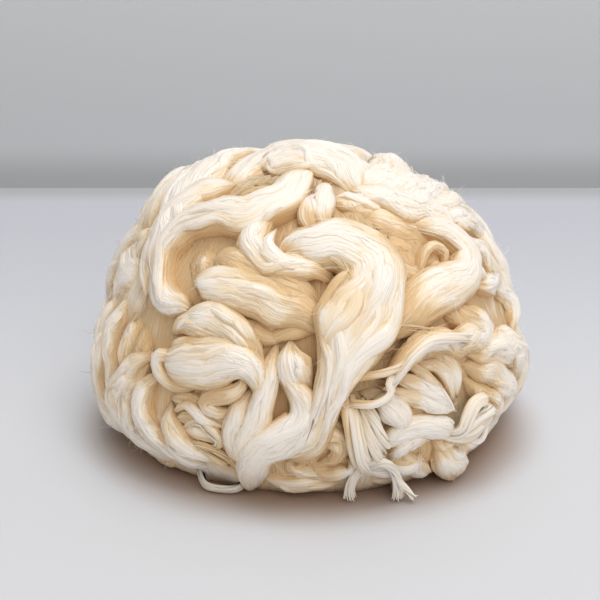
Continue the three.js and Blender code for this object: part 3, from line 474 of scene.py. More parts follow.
def even_route(points: Array, step: float) -> tuple[Array, Array]:
    """A smooth line through points, at even steps.

    Each span is the centripetal Catmull-Rom cubic, whose knots stand apart by the root of the
    distance between points, worked out as the pyramid of three rounds of straight mixes. The fine
    line is then read at equal distances.

    Args:
        points: The points, one a row.
        step: The wanted distance between the places.

    Returns:
        The places, and the row number that each stands at, with its fraction.
    """
    fine, fewest = 24, 6
    p = np.concatenate([2 * points[:1] - points[1:2], points, 2 * points[-1:] - points[-2:-1]])
    knot = np.concatenate([[0.0], np.cumsum(np.linalg.norm(np.diff(p, axis=0), axis=1) ** 0.5)])
    spans = len(points) - 1
    share = np.arange(fine) / fine
    t = [knot[k : k + spans, None, None] for k in range(4)]
    q = [p[k : k + spans, None, :] for k in range(4)]
    x = t[1] + (t[2] - t[1]) * share[None, :, None]

    def mix(a: Array, b: Array, low: Array, high: Array) -> Array:
        """The straight mix of a at low and b at high."""
        return ((high - x) * a + (x - low) * b) / (high - low)

    a = [mix(q[k], q[k + 1], t[k], t[k + 1]) for k in range(3)]
    b = [mix(a[k], a[k + 1], t[k], t[k + 2]) for k in range(2)]
    line = np.concatenate([mix(b[0], b[1], t[1], t[2]).reshape(-1, 3), points[-1:]])
    row = np.concatenate([(np.arange(spans)[:, None] + share).ravel(), [spans]])
    far = travelled(line)
    at = np.linspace(0, far[-1], max(fewest, round(far[-1] / step) + 1))
    places = np.stack([np.interp(at, far, line[:, k]) for k in range(3)], axis=1)
    return places, np.interp(at, far, row)


@dataclass(frozen=True)
class Dome:
    """The smooth dome that carries the locks: a rounded ellipsoid, taller above its belly."""

    half_width: float = 90 * MM
    half_depth: float = 87 * MM
    belly: float = 30 * MM
    rise: float = 88 * MM
    sink: float = 52 * MM
    fullness: float = 2.05
    x: float = -0.2 * MM
    y: float = 1.43 * MM

    @property
    def centre(self) -> Array:
        """The dome's middle at the level of its belly."""
        return np.array([self.x, self.y, self.belly])

    def halves(self, way: Array, sink: float) -> Array:
        """The half sizes that hold in each direction.

        Args:
            way: The directions.
            sink: The half height below the belly.

        Returns:
            Half width, half depth, and half height, which is the rise where the way points up.
        """
        height = np.where(way[..., 2] > 0, self.rise, sink)
        return np.stack([np.full_like(height, self.half_width),
                         np.full_like(height, self.half_depth), height], -1)

    def radius(self, way: Array, sink: float | None = None) -> Array:
        """The dome's radius in each direction.

        The sum of each part of a point over its half size, to the power fullness, is one.

        Args:
            way: The directions, of length one.
            sink: The half height below the belly, where it isn't the dome's own.

        Returns:
            The radii.
        """
        parts = np.abs(way) / self.halves(way, self.sink if sink is None else sink)
        return (parts**self.fullness).sum(-1) ** (-1 / self.fullness)

    def outward(self, points: Array) -> Array:
        """The outward direction at points: each part over its half size squared."""
        local = points - self.centre
        return unit(local / self.halves(local, self.sink) ** 2)

    def place(self, azimuth: Array, latitude: Array, lift: Array,
              sink: float | None = None) -> Array:
        """Points at angles and a lift.

        The point of the surface in the direction of the angles moves outwards by the lift.

        Args:
            azimuth: Degrees from the front, positive to the right.
            latitude: Degrees above the belly's level.
            lift: Metres above the surface.
            sink: The half height below the belly, where it isn't the dome's own.

        Returns:
            The points.
        """
        a, b = np.radians(azimuth), np.radians(latitude)
        way = np.stack([np.cos(b) * np.sin(a), -np.cos(b) * np.cos(a), np.sin(b)], -1)
        points = way * self.radius(way, sink)[..., None] + self.centre
        return points + self.outward(points) * lift[..., None]

    def read(self, points: Array) -> tuple[Array, Array, Array]:
        """The reverse of place.

        Args:
            points: The points.

        Returns:
            Their azimuth, latitude and lift, which is the distance to the surface along the line to
            the middle, times the cosine of its slope.
        """
        local = points - self.centre
        far = np.linalg.norm(local, axis=-1)
        way = local / (far[..., None] + 1e-12)
        azimuth = np.degrees(np.arctan2(way[..., 0], -way[..., 1]))
        latitude = np.degrees(np.arcsin(np.clip(way[..., 2], -1, 1)))
        slope = (way * self.outward(points)).sum(-1)
        return azimuth, latitude, (far - self.radius(way)) * slope


DOME = Dome()


def settle(points: Array) -> Array:
    """Lays what is near the table flat on it: z becomes s * log(1 + exp(z / s)).

    Args:
        points: The points.

    Returns:
        The points with their new heights.
    """
    soft = 0.5 * MM
    level = soft * np.logaddexp(0, points[..., 2] / soft)
    return np.concatenate([points[..., :2], level[..., None]], axis=-1)


class Patch(NamedTuple):
    """Part of a mesh: points, four- and three-cornered faces, and per point: map, tone, groove and
    the direction that it is shaded to face, which is zero where the faces tell it."""

    points: Array
    quads: Numbers
    tris: Numbers
    maps: Array
    tone: Array
    groove: Array
    facing: Array


class Lock(NamedTuple):
    """A lofted lock: rings of points with the outward normal, the place across and the groove of
    each, the distance and the width at each ring, and its relief."""

    points: Array
    normals: Array
    across: Array
    distance: Array
    width: Array
    groove: Array
    comb: Comb

    @property
    def area(self) -> float:
        """About how much the lock covers: its length times its mean width."""
        return self.distance[-1] * self.width.mean()

    @property
    def outer(self) -> int:
        """How many points of a ring lie safely on the outer side."""
        return int(self.points.shape[1] * OUTER_SHARE)

    def course(self, behind: Array, ahead: Array, lane: Array) -> Array:
        """The way from a place along the lock to another one in the same lane."""
        return bilinear(self.points, ahead, lane) - bilinear(self.points, behind, lane)


def ring_angles(mean: float, pitch: float) -> Array:
    """Where the points of a lock's section stand round its middle.

    The outer side runs from -15 to 195 degrees, and has up to four times as many points as the
    inner one.

    Args:
        mean: The lock's mean width.
        pitch: The wanted distance between points across the outer side.

    Returns:
        The angles in radians, from the right over the crest.
    """
    right, left = -15, 195
    outer = int(np.clip(round(1.35 * mean / pitch), 6, 40))
    inner = max(3, outer // 4)
    return np.radians(np.concatenate([
        np.linspace(right, left, outer, endpoint=False),
        np.linspace(left, right + 360, inner, endpoint=False)]))


def combed(comb: Comb, across: Array, along: Array, mean: float,
           seed: int) -> tuple[Array, Array]:
    """The relief of combed fibre.

    Lobes, ridges and hairs are rounded ridges that run with the lock, each finer than the last.
    They sway across it together by smooth hills. Crimp is hills of its own pitch both ways, with
    half as much of it at half the pitch.

    Args:
        comb: Heights and pitches.
        across: The place across, from -1 to 1.
        along: The distance along.
        mean: The lock's mean width.
        seed: Names the random relief.

    Returns:
        The height of the relief, and how deep in a groove each place lies, from 0 to 1: its depth,
        or how far over the lock's edge it is.
    """
    full_lobes, sway_pitch, sway = 9 * MM, 22 * MM, 0.45
    full_groove, rim, rim_reach, rim_groove = 0.6, 0.55, 0.4, 0.9
    lobe = comb.lobe * min(1.0, mean / full_lobes)
    lane = (hills(seed + 3, across * 1.3, along / sway_pitch) * sway + across) * mean / 2
    bands = ((lobe, comb.lobe_pitch, 1.0), (comb.ridge, comb.ridge_pitch, 0.8),
             (comb.hair, comb.hair_pitch, 0.6))
    height = sum(tall * ridges(seed + 4 + n, lane / pitch, along / (part * comb.run))
                 for n, (tall, pitch, part) in enumerate(bands))
    pitch = comb.crimp_pitch
    height = (height + comb.crimp * hills(seed + 7, across * mean / 2 / pitch, along / pitch)
              + 0.5 * comb.crimp * hills(seed + 8, across * mean / pitch, along / (0.5 * pitch)))
    # The groove feeds the painted shade: the low parts of the relief, and the lock's edges where it
    # meets its neighbours, are painted warmer and darker.
    groove = np.clip(-height / (full_groove * (lobe + comb.ridge + comb.hair)), 0, 1)
    return height, np.maximum(groove, rim_groove * grown(np.abs(across), rim, rim_reach))


def loft(route: Array, outward: Array, width: Array, comb: Comb, seed: int, root: float,
         pitch: float, tip: float = 15 * MM) -> Lock:
    """A lock drawn out along its route.

    A section is a flattened oval under the crest: x = cos(angle) * width / 2 to the side and
    y = sin(angle) * thickness / 2 outwards, deeper by root on the inner half. Both ends taper to a
    point as (1 - (1 - distance / tip)^2)^0.8. The outer side then moves along its own normal by the
    relief of combed fibre. The place across is the angle from the crest over a right angle.

    Args:
        route: The crest line, evenly stepped.
        outward: The outward direction at each place of the route.
        width: The width at each place.
        comb: The relief.
        seed: Names the random relief.
        root: How much deeper the inner half is.
        pitch: The wanted distance between points across the outer side.
        tip: The length over which each end tapers.

    Returns:
        The lofted lock.
    """
    thickest, wobble_pitch, lean_pitch, lean = 14 * MM, 9 * MM, 14 * MM, 0.14
    most_tip, edge, relief_from, relief_over = 0.48, -0.3, -0.45, 0.4
    mean = float(width.mean())
    angle = ring_angles(mean, pitch)
    distance = travelled(route)
    ahead = unit(np.gradient(route, axis=0))
    side = unit(np.cross(ahead, outward))
    out = unit(np.cross(side, ahead))
    wobble = hills(seed + 1, distance / wobble_pitch, np.zeros(len(route))) * comb.wander
    near = np.minimum(distance, distance[-1] - distance) / min(tip, most_tip * distance[-1])
    close = np.where(near < 1, 1 - (1 - near) ** 2, 1.0) ** 0.8
    half = width / 2 * close
    thick = np.minimum(thickest, width * comb.flatness) / 2
    c, s = np.cos(angle)[None, :], np.sin(angle)[None, :]
    uneven = hills(seed + 2, distance[:, None] / lean_pitch, np.sign(c) * 3.3)
    x = c * half[:, None] * (1 + lean * uneven)
    y = s * np.where(s < 0, thick[:, None] + root, thick[:, None]) * close[:, None]
    turned = np.where(angle > np.pi * 1.5, angle - 2 * np.pi, angle)
    across = np.where(s > edge, (np.pi / 2 - turned) / (np.pi / 2), np.sign(c))
    height, groove = combed(comb, across, distance[:, None], mean, seed)
    height = height * grown(s, relief_from, relief_over) * close[:, None]
    normal = unit(side[:, None, :] * (c / half.mean())[..., None]
                  + out[:, None, :] * (s / thick.mean())[..., None])
    centre = route - out * thick[:, None] + side * wobble[:, None]
    points = (centre[:, None, :] + side[:, None, :] * x[..., None] + out[:, None, :] * y[..., None]
              + normal * height[..., None])
    return Lock(settle(points), normal, np.broadcast_to(across, x.shape), distance, width, groove,
                comb)


def ring_quads(rings: int, around: int) -> Numbers:
    """The quads between neighbours of many rings of points.

    Args:
        rings: How many rings.
        around: How many points each has.

    Returns:
        The numbers of the corners, one quad a row.
    """
    i, j = np.meshgrid(around * np.arange(rings - 1), np.arange(around), indexing="ij")
    k = (j + 1) % around
    return np.stack([i + j, i + around + j, i + around + k, i + k], -1).reshape(-1, 4)


def lock_patch(lock: Lock, shift: float, tone: float) -> Patch:
    """The faces of a lofted lock: a quad between neighbours of two rings, and a fan at each end.

    Args:
        lock: The lock.
        shift: How far its map stands off, so that locks don't share their streaks.
        tone: One tone for all its points.

    Returns:
        The patch.
    """
    steps, around = lock.points.shape[:2]
    rings = lock.points[1:-1].reshape(-1, 3)
    points = np.concatenate([lock.points[:1].mean(1), rings, lock.points[-1:].mean(1)])
    j = np.arange(around)
    k = (j + 1) % around
    last = 1 + (steps - 3) * around
    tris = np.concatenate([
        np.stack([np.zeros(around, int), 1 + j, 1 + k], -1),
        np.stack([last + j, np.full(around, len(points) - 1), last + k], -1)])
    u = np.concatenate([[0.0], np.repeat(lock.distance[1:-1], around), [lock.distance[-1]]])
    v = np.concatenate([[0.0], (lock.across[1:-1] * lock.width.mean() / 2).ravel(), [0.0]])
    groove = np.concatenate([[0.0], lock.groove[1:-1].ravel(), [0.0]])
    return Patch(points, 1 + ring_quads(steps - 2, around), tris,
                 np.stack([u + shift, v + shift * 0.37], -1), np.full(len(points), tone), groove,
                 np.zeros_like(points))


def rounded(sides: int) -> Array:
    """The corners of an even ring of radius one, with one corner up."""
    angle = np.radians(90 + 360 * np.arange(sides) / sides)
    return np.stack([np.cos(angle), np.sin(angle)], -1)


# The section of a flat wisp: a low arch over the lock that carries it.
CAP = np.array([[1.0, -0.75], [0.55, 0.05], [-0.55, 0.05], [-1.0, -0.75]])


def tubes(paths: Array, normals: Array, radii: Array, tone: Array, ring: Array, facing: Array,
          blend: float, groove: Array | float = 0.0) -> Patch:
    """Thin tubes along many paths at once.

    Each ring stands across its path: a corner (x, y) of the ring is the path's place plus the
    radius times (x * side + y * normal). Both ends are closed by a fan or one face. Light passes
    through fibre, so a strand is shaded mostly as the mass that it lies on: the shading direction
    is the mix of the mass's and the corner's own.

    Args:
        paths: The paths, as path, place, xyz.
        normals: A direction across each path at each place.
        radii: The radius at each place.
        tone: One tone for each path.
        ring: The corners of a section of radius one, anticlockwise.
        facing: The direction that the mass under each place faces.
        blend: The share of the corner's own direction in the shading.
        groove: How deep in a groove each place lies.

    Returns:
        The patch of all tubes.
    """
    tone_shift = 7
    count, steps = paths.shape[:2]
    sides = len(ring)
    ahead = unit(np.gradient(paths, axis=1))
    side = unit(np.cross(ahead, normals))
    out = np.cross(side, ahead)
    arms = side[:, :, None, :] * ring[:, :1] + out[:, :, None, :] * ring[:, 1:]
    points = settle((paths[:, :, None, :] + arms * radii[:, :, None, None]).reshape(-1, 3))
    starts = steps * sides * np.arange(count)
    quads = (starts[:, None, None] + ring_quads(steps, sides)).reshape(-1, 4)
    first, j = np.meshgrid(starts, np.arange(1, sides - 1), indexing="ij")
    last = first + (steps - 1) * sides
    tris = np.concatenate([np.stack([first, first + j, first + j + 1], -1).reshape(-1, 3),
                           np.stack([last, last + j + 1, last + j], -1).reshape(-1, 3)])
    strides = np.linalg.norm(np.diff(paths, axis=1), axis=2)
    far = np.concatenate([np.zeros((count, 1)), np.cumsum(strides, 1)], 1)
    girth = 2 * np.pi / sides * radii.max(1)[:, None, None] * np.arange(sides)
    maps = np.stack([np.repeat(far.ravel(), sides),
                     np.broadcast_to(girth, (count, steps, sides)).ravel()], -1)
    maps += tone_shift * np.repeat(tone, steps * sides)[:, None]
    shaded = unit((1 - blend) * unit(facing)[:, :, None, :] + blend * unit(arms)).reshape(-1, 3)
    deep = np.repeat((np.zeros((count, steps)) + groove).ravel(), sides)
    return Patch(points, quads, tris, maps, np.repeat(tone, steps * sides), deep, shaded)


def joined(patches: list[Patch]) -> Patch:
    """One patch of many.

    Args:
        patches: The patches.

    Returns:
        Their points and faces in one, with the numbers in the faces moved on.
    """
    starts = np.cumsum([0] + [len(p.points) for p in patches[:-1]])
    moved = [p._replace(quads=p.quads + s, tris=p.tris + s) for p, s in zip(patches, starts)]
    return Patch(*(np.concatenate(parts) for parts in zip(*moved)))


def bundle(core: Array, diameter: Array, count: int, turn: float, seed: int,
           heart: float = 0.3) -> Patch:
    """Single four-sided strands wound round a line.

    A strand's middle stands at core + reach * (cos a * side + sin a * out), where a grows evenly
    by the turn. The reach is up to 0.4 of the diameter, more at the ends, where the strands come
    apart. One strand runs in the middle, and holds the bundle closed.

    Args:
        core: The line, evenly stepped.
        diameter: The diameter at each place.
        count: How many strands.
        turn: Degrees of turn from one end to the other.
        seed: Names the random numbers.
        heart: The radius of the strand in the middle, as a share of the diameter.

    Returns:
        The patch of all strands.
    """
    most_reach, thin, thick_most, fray = 0.4, 0.33, 0.61, 1.1
    rng = np.random.default_rng(seed)
    places = len(core)
    normal = DOME.outward(core)
    ahead = unit(np.gradient(core, axis=0))
    side = unit(np.cross(ahead, normal))
    out = np.cross(side, ahead)
    share = np.linspace(0, 1, places)[None, :]
    start, stop = (rng.uniform(0, 0.1, (count, 1)) ** 1.5 for _ in range(2))
    at = (start + (1 - stop - start) * share) * (places - 1)
    i = np.minimum(at.astype(int), places - 2)
    t = (at - i)[..., None]
    middle, across, up = [(1 - t) * line[i] + t * line[i + 1] for line in (core, side, out)]
    thick = np.interp(at, np.arange(places), diameter)
    end = np.abs(2 * share - 1)
    number = np.arange(count)[:, None]
    angle = rng.uniform(0, 2 * np.pi, (count, 1)) + np.radians(turn) * at / places
    angle = angle + 0.5 * hills(seed, at * 0.12, number * 1.7)
    reach = (thick * most_reach * np.sqrt(rng.uniform(0.02, 1, (count, 1)))
             * (1 + rng.uniform(0, fray, (count, 1)) * end**7))
    away = np.cos(angle)[..., None] * across + np.sin(angle)[..., None] * up
    reach[0] = 0
    radii = (thick * rng.uniform(thin, thick_most, (count, 1)) / np.sqrt(count)
             * (1 - 0.6 * end**8))
    radii[0] = heart * thick[0] * (1 - 0.8 * end[0] ** 4)
    # Painted shade: strands on the sides and underside of the bundle get more groove, so they are
    # painted warmer and darker than those on top.
    raised = 0.7 * np.sum(away * up, -1) * np.minimum(reach / (most_reach * thick), 1)
    groove = 0.85 - raised + 0.25 * hills(seed + 1, at * 0.3, number * 1.3)
    return tubes(middle + away * reach[..., None], up, radii, rng.uniform(0, 1, count), rounded(4),
                 up + 0.6 * away, 0.35, groove)


class Relief:
    """How high the fibre stands over the dome, by azimuth and latitude, and so what lies deep and
    how much shade is painted there.
    """

    step: float = 1.5
    lowest: float = -45.0
    cells: tuple[int, int] = (240, 92)
    # Weights of the painted shade: under the broad crests, near the table, at the warm shade places
    # and in creases.
    deep: float = 0.9
    near_table: float = 0.75
    warm: float = 0.75
    creased: float = 0.42

    def __init__(self, points: Array) -> None:
        """Keeps the highest lift in each cell, spread by one cell and, broadly, by five.

        Args:
            points: All points of the locks.
        """
        azimuth, latitude, lift = DOME.read(points)
        i = np.floor((azimuth + 180) / self.step).astype(int) % self.cells[0]
        j = np.floor((latitude - self.lowest) / self.step).astype(int)
        grid = np.full(self.cells, -9 * MM)
        np.maximum.at(grid, (i, np.clip(j, 0, self.cells[1] - 1)), lift)
        self.grid = self._softened(self._spread(grid, 1), 4)
        self.broad = self._softened(self._spread(grid, 5), 12)

    @staticmethod
    def _spread(grid: Array, reach: int) -> Array:
        """The grid with each cell at the highest value within a reach.

        Args:
            grid: The values.
            reach: How many cells each way.

        Returns:
            The new values.
        """
        for axis in (0, 1):
            grid = np.max([np.roll(grid, k, axis) for k in range(-reach, reach + 1)], axis=0)
        return grid

    @staticmethod
    def _softened(grid: Array, rounds: int) -> Array:
        """The grid smoothed along both axes.

        Args:
            grid: The values.
            rounds: Rounds of the mean of each cell, twice, and its two neighbours.

        Returns:
            The new values.
        """
        for _ in range(rounds):
            for axis in (0, 1):
                grid = (2 * grid + np.roll(grid, 1, axis) + np.roll(grid, -1, axis)) / 4
        return grid

    def _read(self, grid: Array, azimuth: Array, latitude: Array) -> Array:
        """The mix of the four cells round each pair of angles.

        Args:
            grid: The values.
            azimuth: Degrees from the front.
            latitude: Degrees above the belly.

        Returns:
            The values at the angles.
        """
        row = ((azimuth + 180) / self.step - 0.5) % self.cells[0]
        column = np.clip((latitude - self.lowest) / self.step - 0.5, 0, self.cells[1] - 1)
        return bilinear(np.concatenate([grid, grid[:1]])[..., None], row, column)[..., 0]

    def height(self, azimuth: Array, latitude: Array) -> Array:
        """The smoothed crest height at angles."""
        return self._read(self.grid, azimuth, latitude)

    @staticmethod
    def _spots(places: Rows, azimuth: Array, latitude: Array) -> Array:
        """The strongest of the places at angles: strength * exp(-(distance / reach)^2).

        Args:
            places: Azimuth, latitude, reach and strength of each place.
            azimuth: Degrees from the front.
            latitude: Degrees above the belly.

        Returns:
            The strength at each pair of angles.
        """
        most = np.zeros_like(azimuth)
        for place_azimuth, place_latitude, reach, strength in places:
            turn = (azimuth - place_azimuth) * np.cos(np.radians(place_latitude))
            far = (turn**2 + (latitude - place_latitude) ** 2) / reach**2
            most = np.maximum(most, strength * np.exp(-far))
        return most

    def painted_shade(self, points: Array) -> Array:
        """How much shade is painted on the fibre, from 0 on the crests to 1 in the depths.

        The painted shade grows with the depth under the broad crests, close to the table, in
        creases, near the warm shade places where they lie below the crests, and in the shade tint
        places.

        Args:
            points: The points.

        Returns:
            The painted shade of each.
        """
        azimuth, latitude, lift = DOME.read(points)
        under = self._read(self.broad, azimuth, latitude) - lift
        crease = grown(self.height(azimuth, latitude) - lift, 0.4 * MM, 1.8 * MM)
        depth = grown(under, 3 * MM, 10 * MM)
        below = grown(under, 0.5 * MM, 3 * MM)
        low = np.clip(1 - points[:, 2] / (9 * MM), 0, 1)
        warm = self._spots(WARM_SHADE_PLACES, azimuth, latitude)
        # Painted shade at the shade tint places.
        cream_tone_and_shade = self._spots(SHADE_TINT_PLACES, azimuth, latitude)
        # Painted shade: the larger of depth and nearness to the table, plus the warm shade places,
        # the creases and the shade tint places.
        return np.clip(np.maximum(self.deep * depth, self.near_table * low)
                       + self.warm * warm * below + self.creased * crease + cream_tone_and_shade, 0, 1)


class Graph:
    """The node graph of one material, with short ways to add and feed its nodes."""

    def __init__(self, name: str, roughness: float) -> None:
        """Starts a material with its standard shader.

        Args:
            name: The material's name.
            roughness: The shader's roughness.
        """
        self.material = bpy.data.materials.new(name)
        self.material.use_nodes = True
        self.shader = self.material.node_tree.nodes["Principled BSDF"]
        self.feed(self.shader, {"Roughness": roughness})

    def feed(self, node: bpy.types.Node, inputs: dict[str | int, object]) -> None:
        """Sets a node's inputs, or links them where the value is an output of another node.

        Args:
            node: The node.
            inputs: The values, by the name or number of the input.
        """
        for name, value in inputs.items():
            if isinstance(value, bpy.types.NodeSocket):
                self.material.node_tree.links.new(value, node.inputs[name])
            else:
                node.inputs[name].default_value = value

    def add(self, kind: str, inputs: dict[str | int, object],
            **options: object) -> bpy.types.Node:
        """Adds a node.

        Args:
            kind: Its type, without the leading ShaderNode.
            inputs: What its inputs take, by name or number.
            options: Its own options.

        Returns:
            The node.
        """
        node = self.material.node_tree.nodes.new("ShaderNode" + kind)
        for name, value in options.items():
            setattr(node, name, value)
        self.feed(node, inputs)
        return node

    def tinted(self, colour: bpy.types.NodeSocket, tint: Colour,
               share: bpy.types.NodeSocket) -> bpy.types.NodeSocket:
        """A colour multiplied by a tint where a share says so.

        Args:
            colour: The colour.
            tint: What it is multiplied by.
            share: How much of the tint counts.

        Returns:
            The new colour.
        """
        mix = self.add("Mix", {"Factor": share, "A": colour, "B": (*tint, 1.0)},
                       data_type="RGBA", blend_type="MULTIPLY")
        return mix.outputs["Result"]


@dataclass(frozen=True)
class FibreFinish:
    """Silky undyed fibre, streaked along the lock, with painted shade: pale on the crests, painted
    warmer and darker in the depths.
    """

    name: str
    # The ramp from crest to depth paints shade: crest is the fibre's own pale colour, while slope,
    # hollow and depth are painted warm shade for grooves and hollows.
    crest: Colour = (0.955, 0.90, 0.845)
    slope: Colour = (0.945, 0.868, 0.78)
    hollow: Colour = (0.89, 0.735, 0.53)
    depth: Colour = (0.75, 0.53, 0.29)
    # The tone tint, the fibre's own creamier tone at random per lock or strand.
    cream_tone_and_shade: Colour = (1.0, 0.955, 0.89)
    places: tuple[float, float, float, float] = (0.0, 0.28, 0.6, 1.0)
    roughness: float = 0.42
    sheen: float = 0.1
    streak: float = 0.32
    bump: float = 1.0
    bump_height: float = 1.3 * MM

    def make(self) -> bpy.types.Material:
        """Builds the material.

        The painted shade plus the streaks' shift picks the colour from the ramp of painted shade,
        and the tone tints it. The streaks are partly the fibre's own grain and partly painted
        shade, darker in the low grooves of the same bump.

        Returns:
            The material, which reads the map and the attributes painted_shade and tone.
        """
        graph = Graph(self.name, self.roughness)
        streaks = self._streaks(graph)
        shift = graph.add("MapRange", {
            "Value": streaks, "From Min": 0.35, "From Max": 0.65, "To Min": self.streak,
            "To Max": -0.6 * self.streak})
        # The painted shade attribute moves the colour down the ramp towards warm shade.
        painted_shade = graph.add("Attribute", {}, attribute_name="painted_shade")
        total = graph.add("Math", {0: painted_shade.outputs["Fac"], 1: shift.outputs["Result"]},
                          operation="ADD", use_clamp=True)
        tone = graph.add("Attribute", {}, attribute_name="tone")
        colour = self._ramp(graph, total.outputs["Value"])
        bump = graph.add("Bump", {"Strength": self.bump, "Distance": self.bump_height,
                                  "Height": streaks})
        graph.feed(graph.shader, {
            "Base Color": graph.tinted(colour, self.cream_tone_and_shade, tone.outputs["Fac"]),
            "Normal": bump.outputs["Normal"], "Specular IOR Level": 0.5,
            "Sheen Weight": self.sheen, "Sheen Roughness": 0.5})
        return graph.material

    def _ramp(self, graph: Graph, depth: bpy.types.NodeSocket) -> bpy.types.NodeSocket:
        """The ramp of four colours from the crests to the depths, which paints shade: the fibre's
        pale colour on the crests and warm painted shade deeper down.

        Args:
            graph: The material's nodes.
            depth: Where on the ramp, from 0 to 1.

        Returns:
            The colour.
        """
        ramp = graph.add("ValToRGB", {"Fac": depth})
        ramp.color_ramp.interpolation = "EASE"
        colours = (self.crest, self.slope, self.hollow, self.depth)
        while len(ramp.color_ramp.elements) < len(colours):
            ramp.color_ramp.elements.new(0.5)
        for element, place, colour in zip(ramp.color_ramp.elements, self.places, colours):
            element.position = place
            element.color = (*colour, 1.0)
        return ramp.outputs["Color"]

    @staticmethod
    def _streaks(graph: Graph) -> bpy.types.NodeSocket:
        """The mean of a coarse and a fine noise, both drawn out along the lock.

        Args:
            graph: The material's nodes.

        Returns:
            The mean, from 0 to 1.
        """
        lay = graph.add("UVMap", {}, uv_map="lay")
        noises = []
        for along, across, detail in ((40.0, 620.0, 3.0), (60.0, 1900.0, 2.0)):
            drawn = graph.add("Mapping", {"Vector": lay.outputs["UV"],
                                          "Scale": (along, across, 1.0)})
            noise = graph.add("TexNoise", {"Vector": drawn.outputs["Vector"], "Scale": 1.0,
                                           "Detail": detail, "Distortion": 0.4})
            noises.append(noise.outputs["Fac"])
        half = graph.add("Math", {0: noises[1], 1: 0.5}, operation="MULTIPLY")
        both = graph.add("Math", {0: noises[0], 1: 0.5, 2: half.outputs["Value"]},
                         operation="MULTIPLY_ADD")
        return both.outputs["Value"]


def put_mesh(name: str, patch: Patch, painted_shade: Array,
             material: bpy.types.Material) -> bpy.types.Object:
    """A mesh object of a patch, at the origin, smooth-shaded.

    Args:
        name: The object's name.
        patch: Points, faces, map, tone and shading directions.
        painted_shade: The painted shade at each point.
        material: The material it wears.

    Returns:
        The new object.
    """
    mesh = bpy.data.meshes.new(name)
    corners = np.concatenate([patch.quads.ravel(), patch.tris.ravel()]).astype(np.int32)
    sizes = np.repeat([4, 3], [len(patch.quads), len(patch.tris)]).astype(np.int32)
    starts = np.concatenate([[0], np.cumsum(sizes)[:-1]]).astype(np.int32)
    mesh.vertices.add(len(patch.points))
    mesh.vertices.foreach_set("co", patch.points.astype(np.float32).ravel())
    mesh.loops.add(len(corners))
    mesh.loops.foreach_set("vertex_index", corners)
    mesh.polygons.add(len(sizes))
    mesh.polygons.foreach_set("loop_start", starts)
    mesh.polygons.foreach_set("use_smooth", np.ones(len(sizes), dtype=bool))
    mesh.update(calc_edges=True)
    maps = patch.maps[corners].astype(np.float32)
    mesh.uv_layers.new(name="lay").data.foreach_set("uv", maps.ravel())
    # The painted shade and the tone go on as point attributes that the material reads.
    for attribute, values in (("painted_shade", painted_shade), ("tone", patch.tone)):
        layer = mesh.attributes.new(attribute, "FLOAT", "POINT")
        layer.data.foreach_set("value", values.astype(np.float32))
    mesh.validate()
    mesh.normals_split_custom_set_from_vertices(patch.facing.astype(np.float32))
    mesh.materials.append(material)
    piece = bpy.data.objects.new(name, mesh)
    bpy.context.scene.collection.objects.link(piece)
    log.info("%s: %d triangles", name, 2 * len(patch.quads) + len(patch.tris))
    return piece


@dataclass(frozen=True)
class Lay:
    """How strands lie on the locks: places along each, its section, and in metres the least and
    most radius and length, how proud it stands, and how far it drifts and waves across its lock."""

    places: int
    ring: Array
    radius: tuple[float, float]
    length: tuple[float, float]
    proud: float
    drift: float
    wave: float


WISP = Lay(12, CAP, (0.4 * MM, 1.8 * MM), (18 * MM, 50 * MM), 0.12 * MM, 3.0 * MM, 0.4 * MM)
STRAND = Lay(11, rounded(3), (0.07 * MM, 0.14 * MM), (18 * MM, 50 * MM), 0.1 * MM, 2.5 * MM,
             0.4 * MM)
NEST_WISP = Lay(12, CAP, (0.15 * MM, 0.5 * MM), (14 * MM, 40 * MM), 0.3 * MM, 3.0 * MM, 0.3 * MM)
NEST_STRAND = Lay(11, rounded(3), (0.04 * MM, 0.08 * MM), (12 * MM, 40 * MM), 0.3 * MM, 3.0 * MM,
                  0.3 * MM)


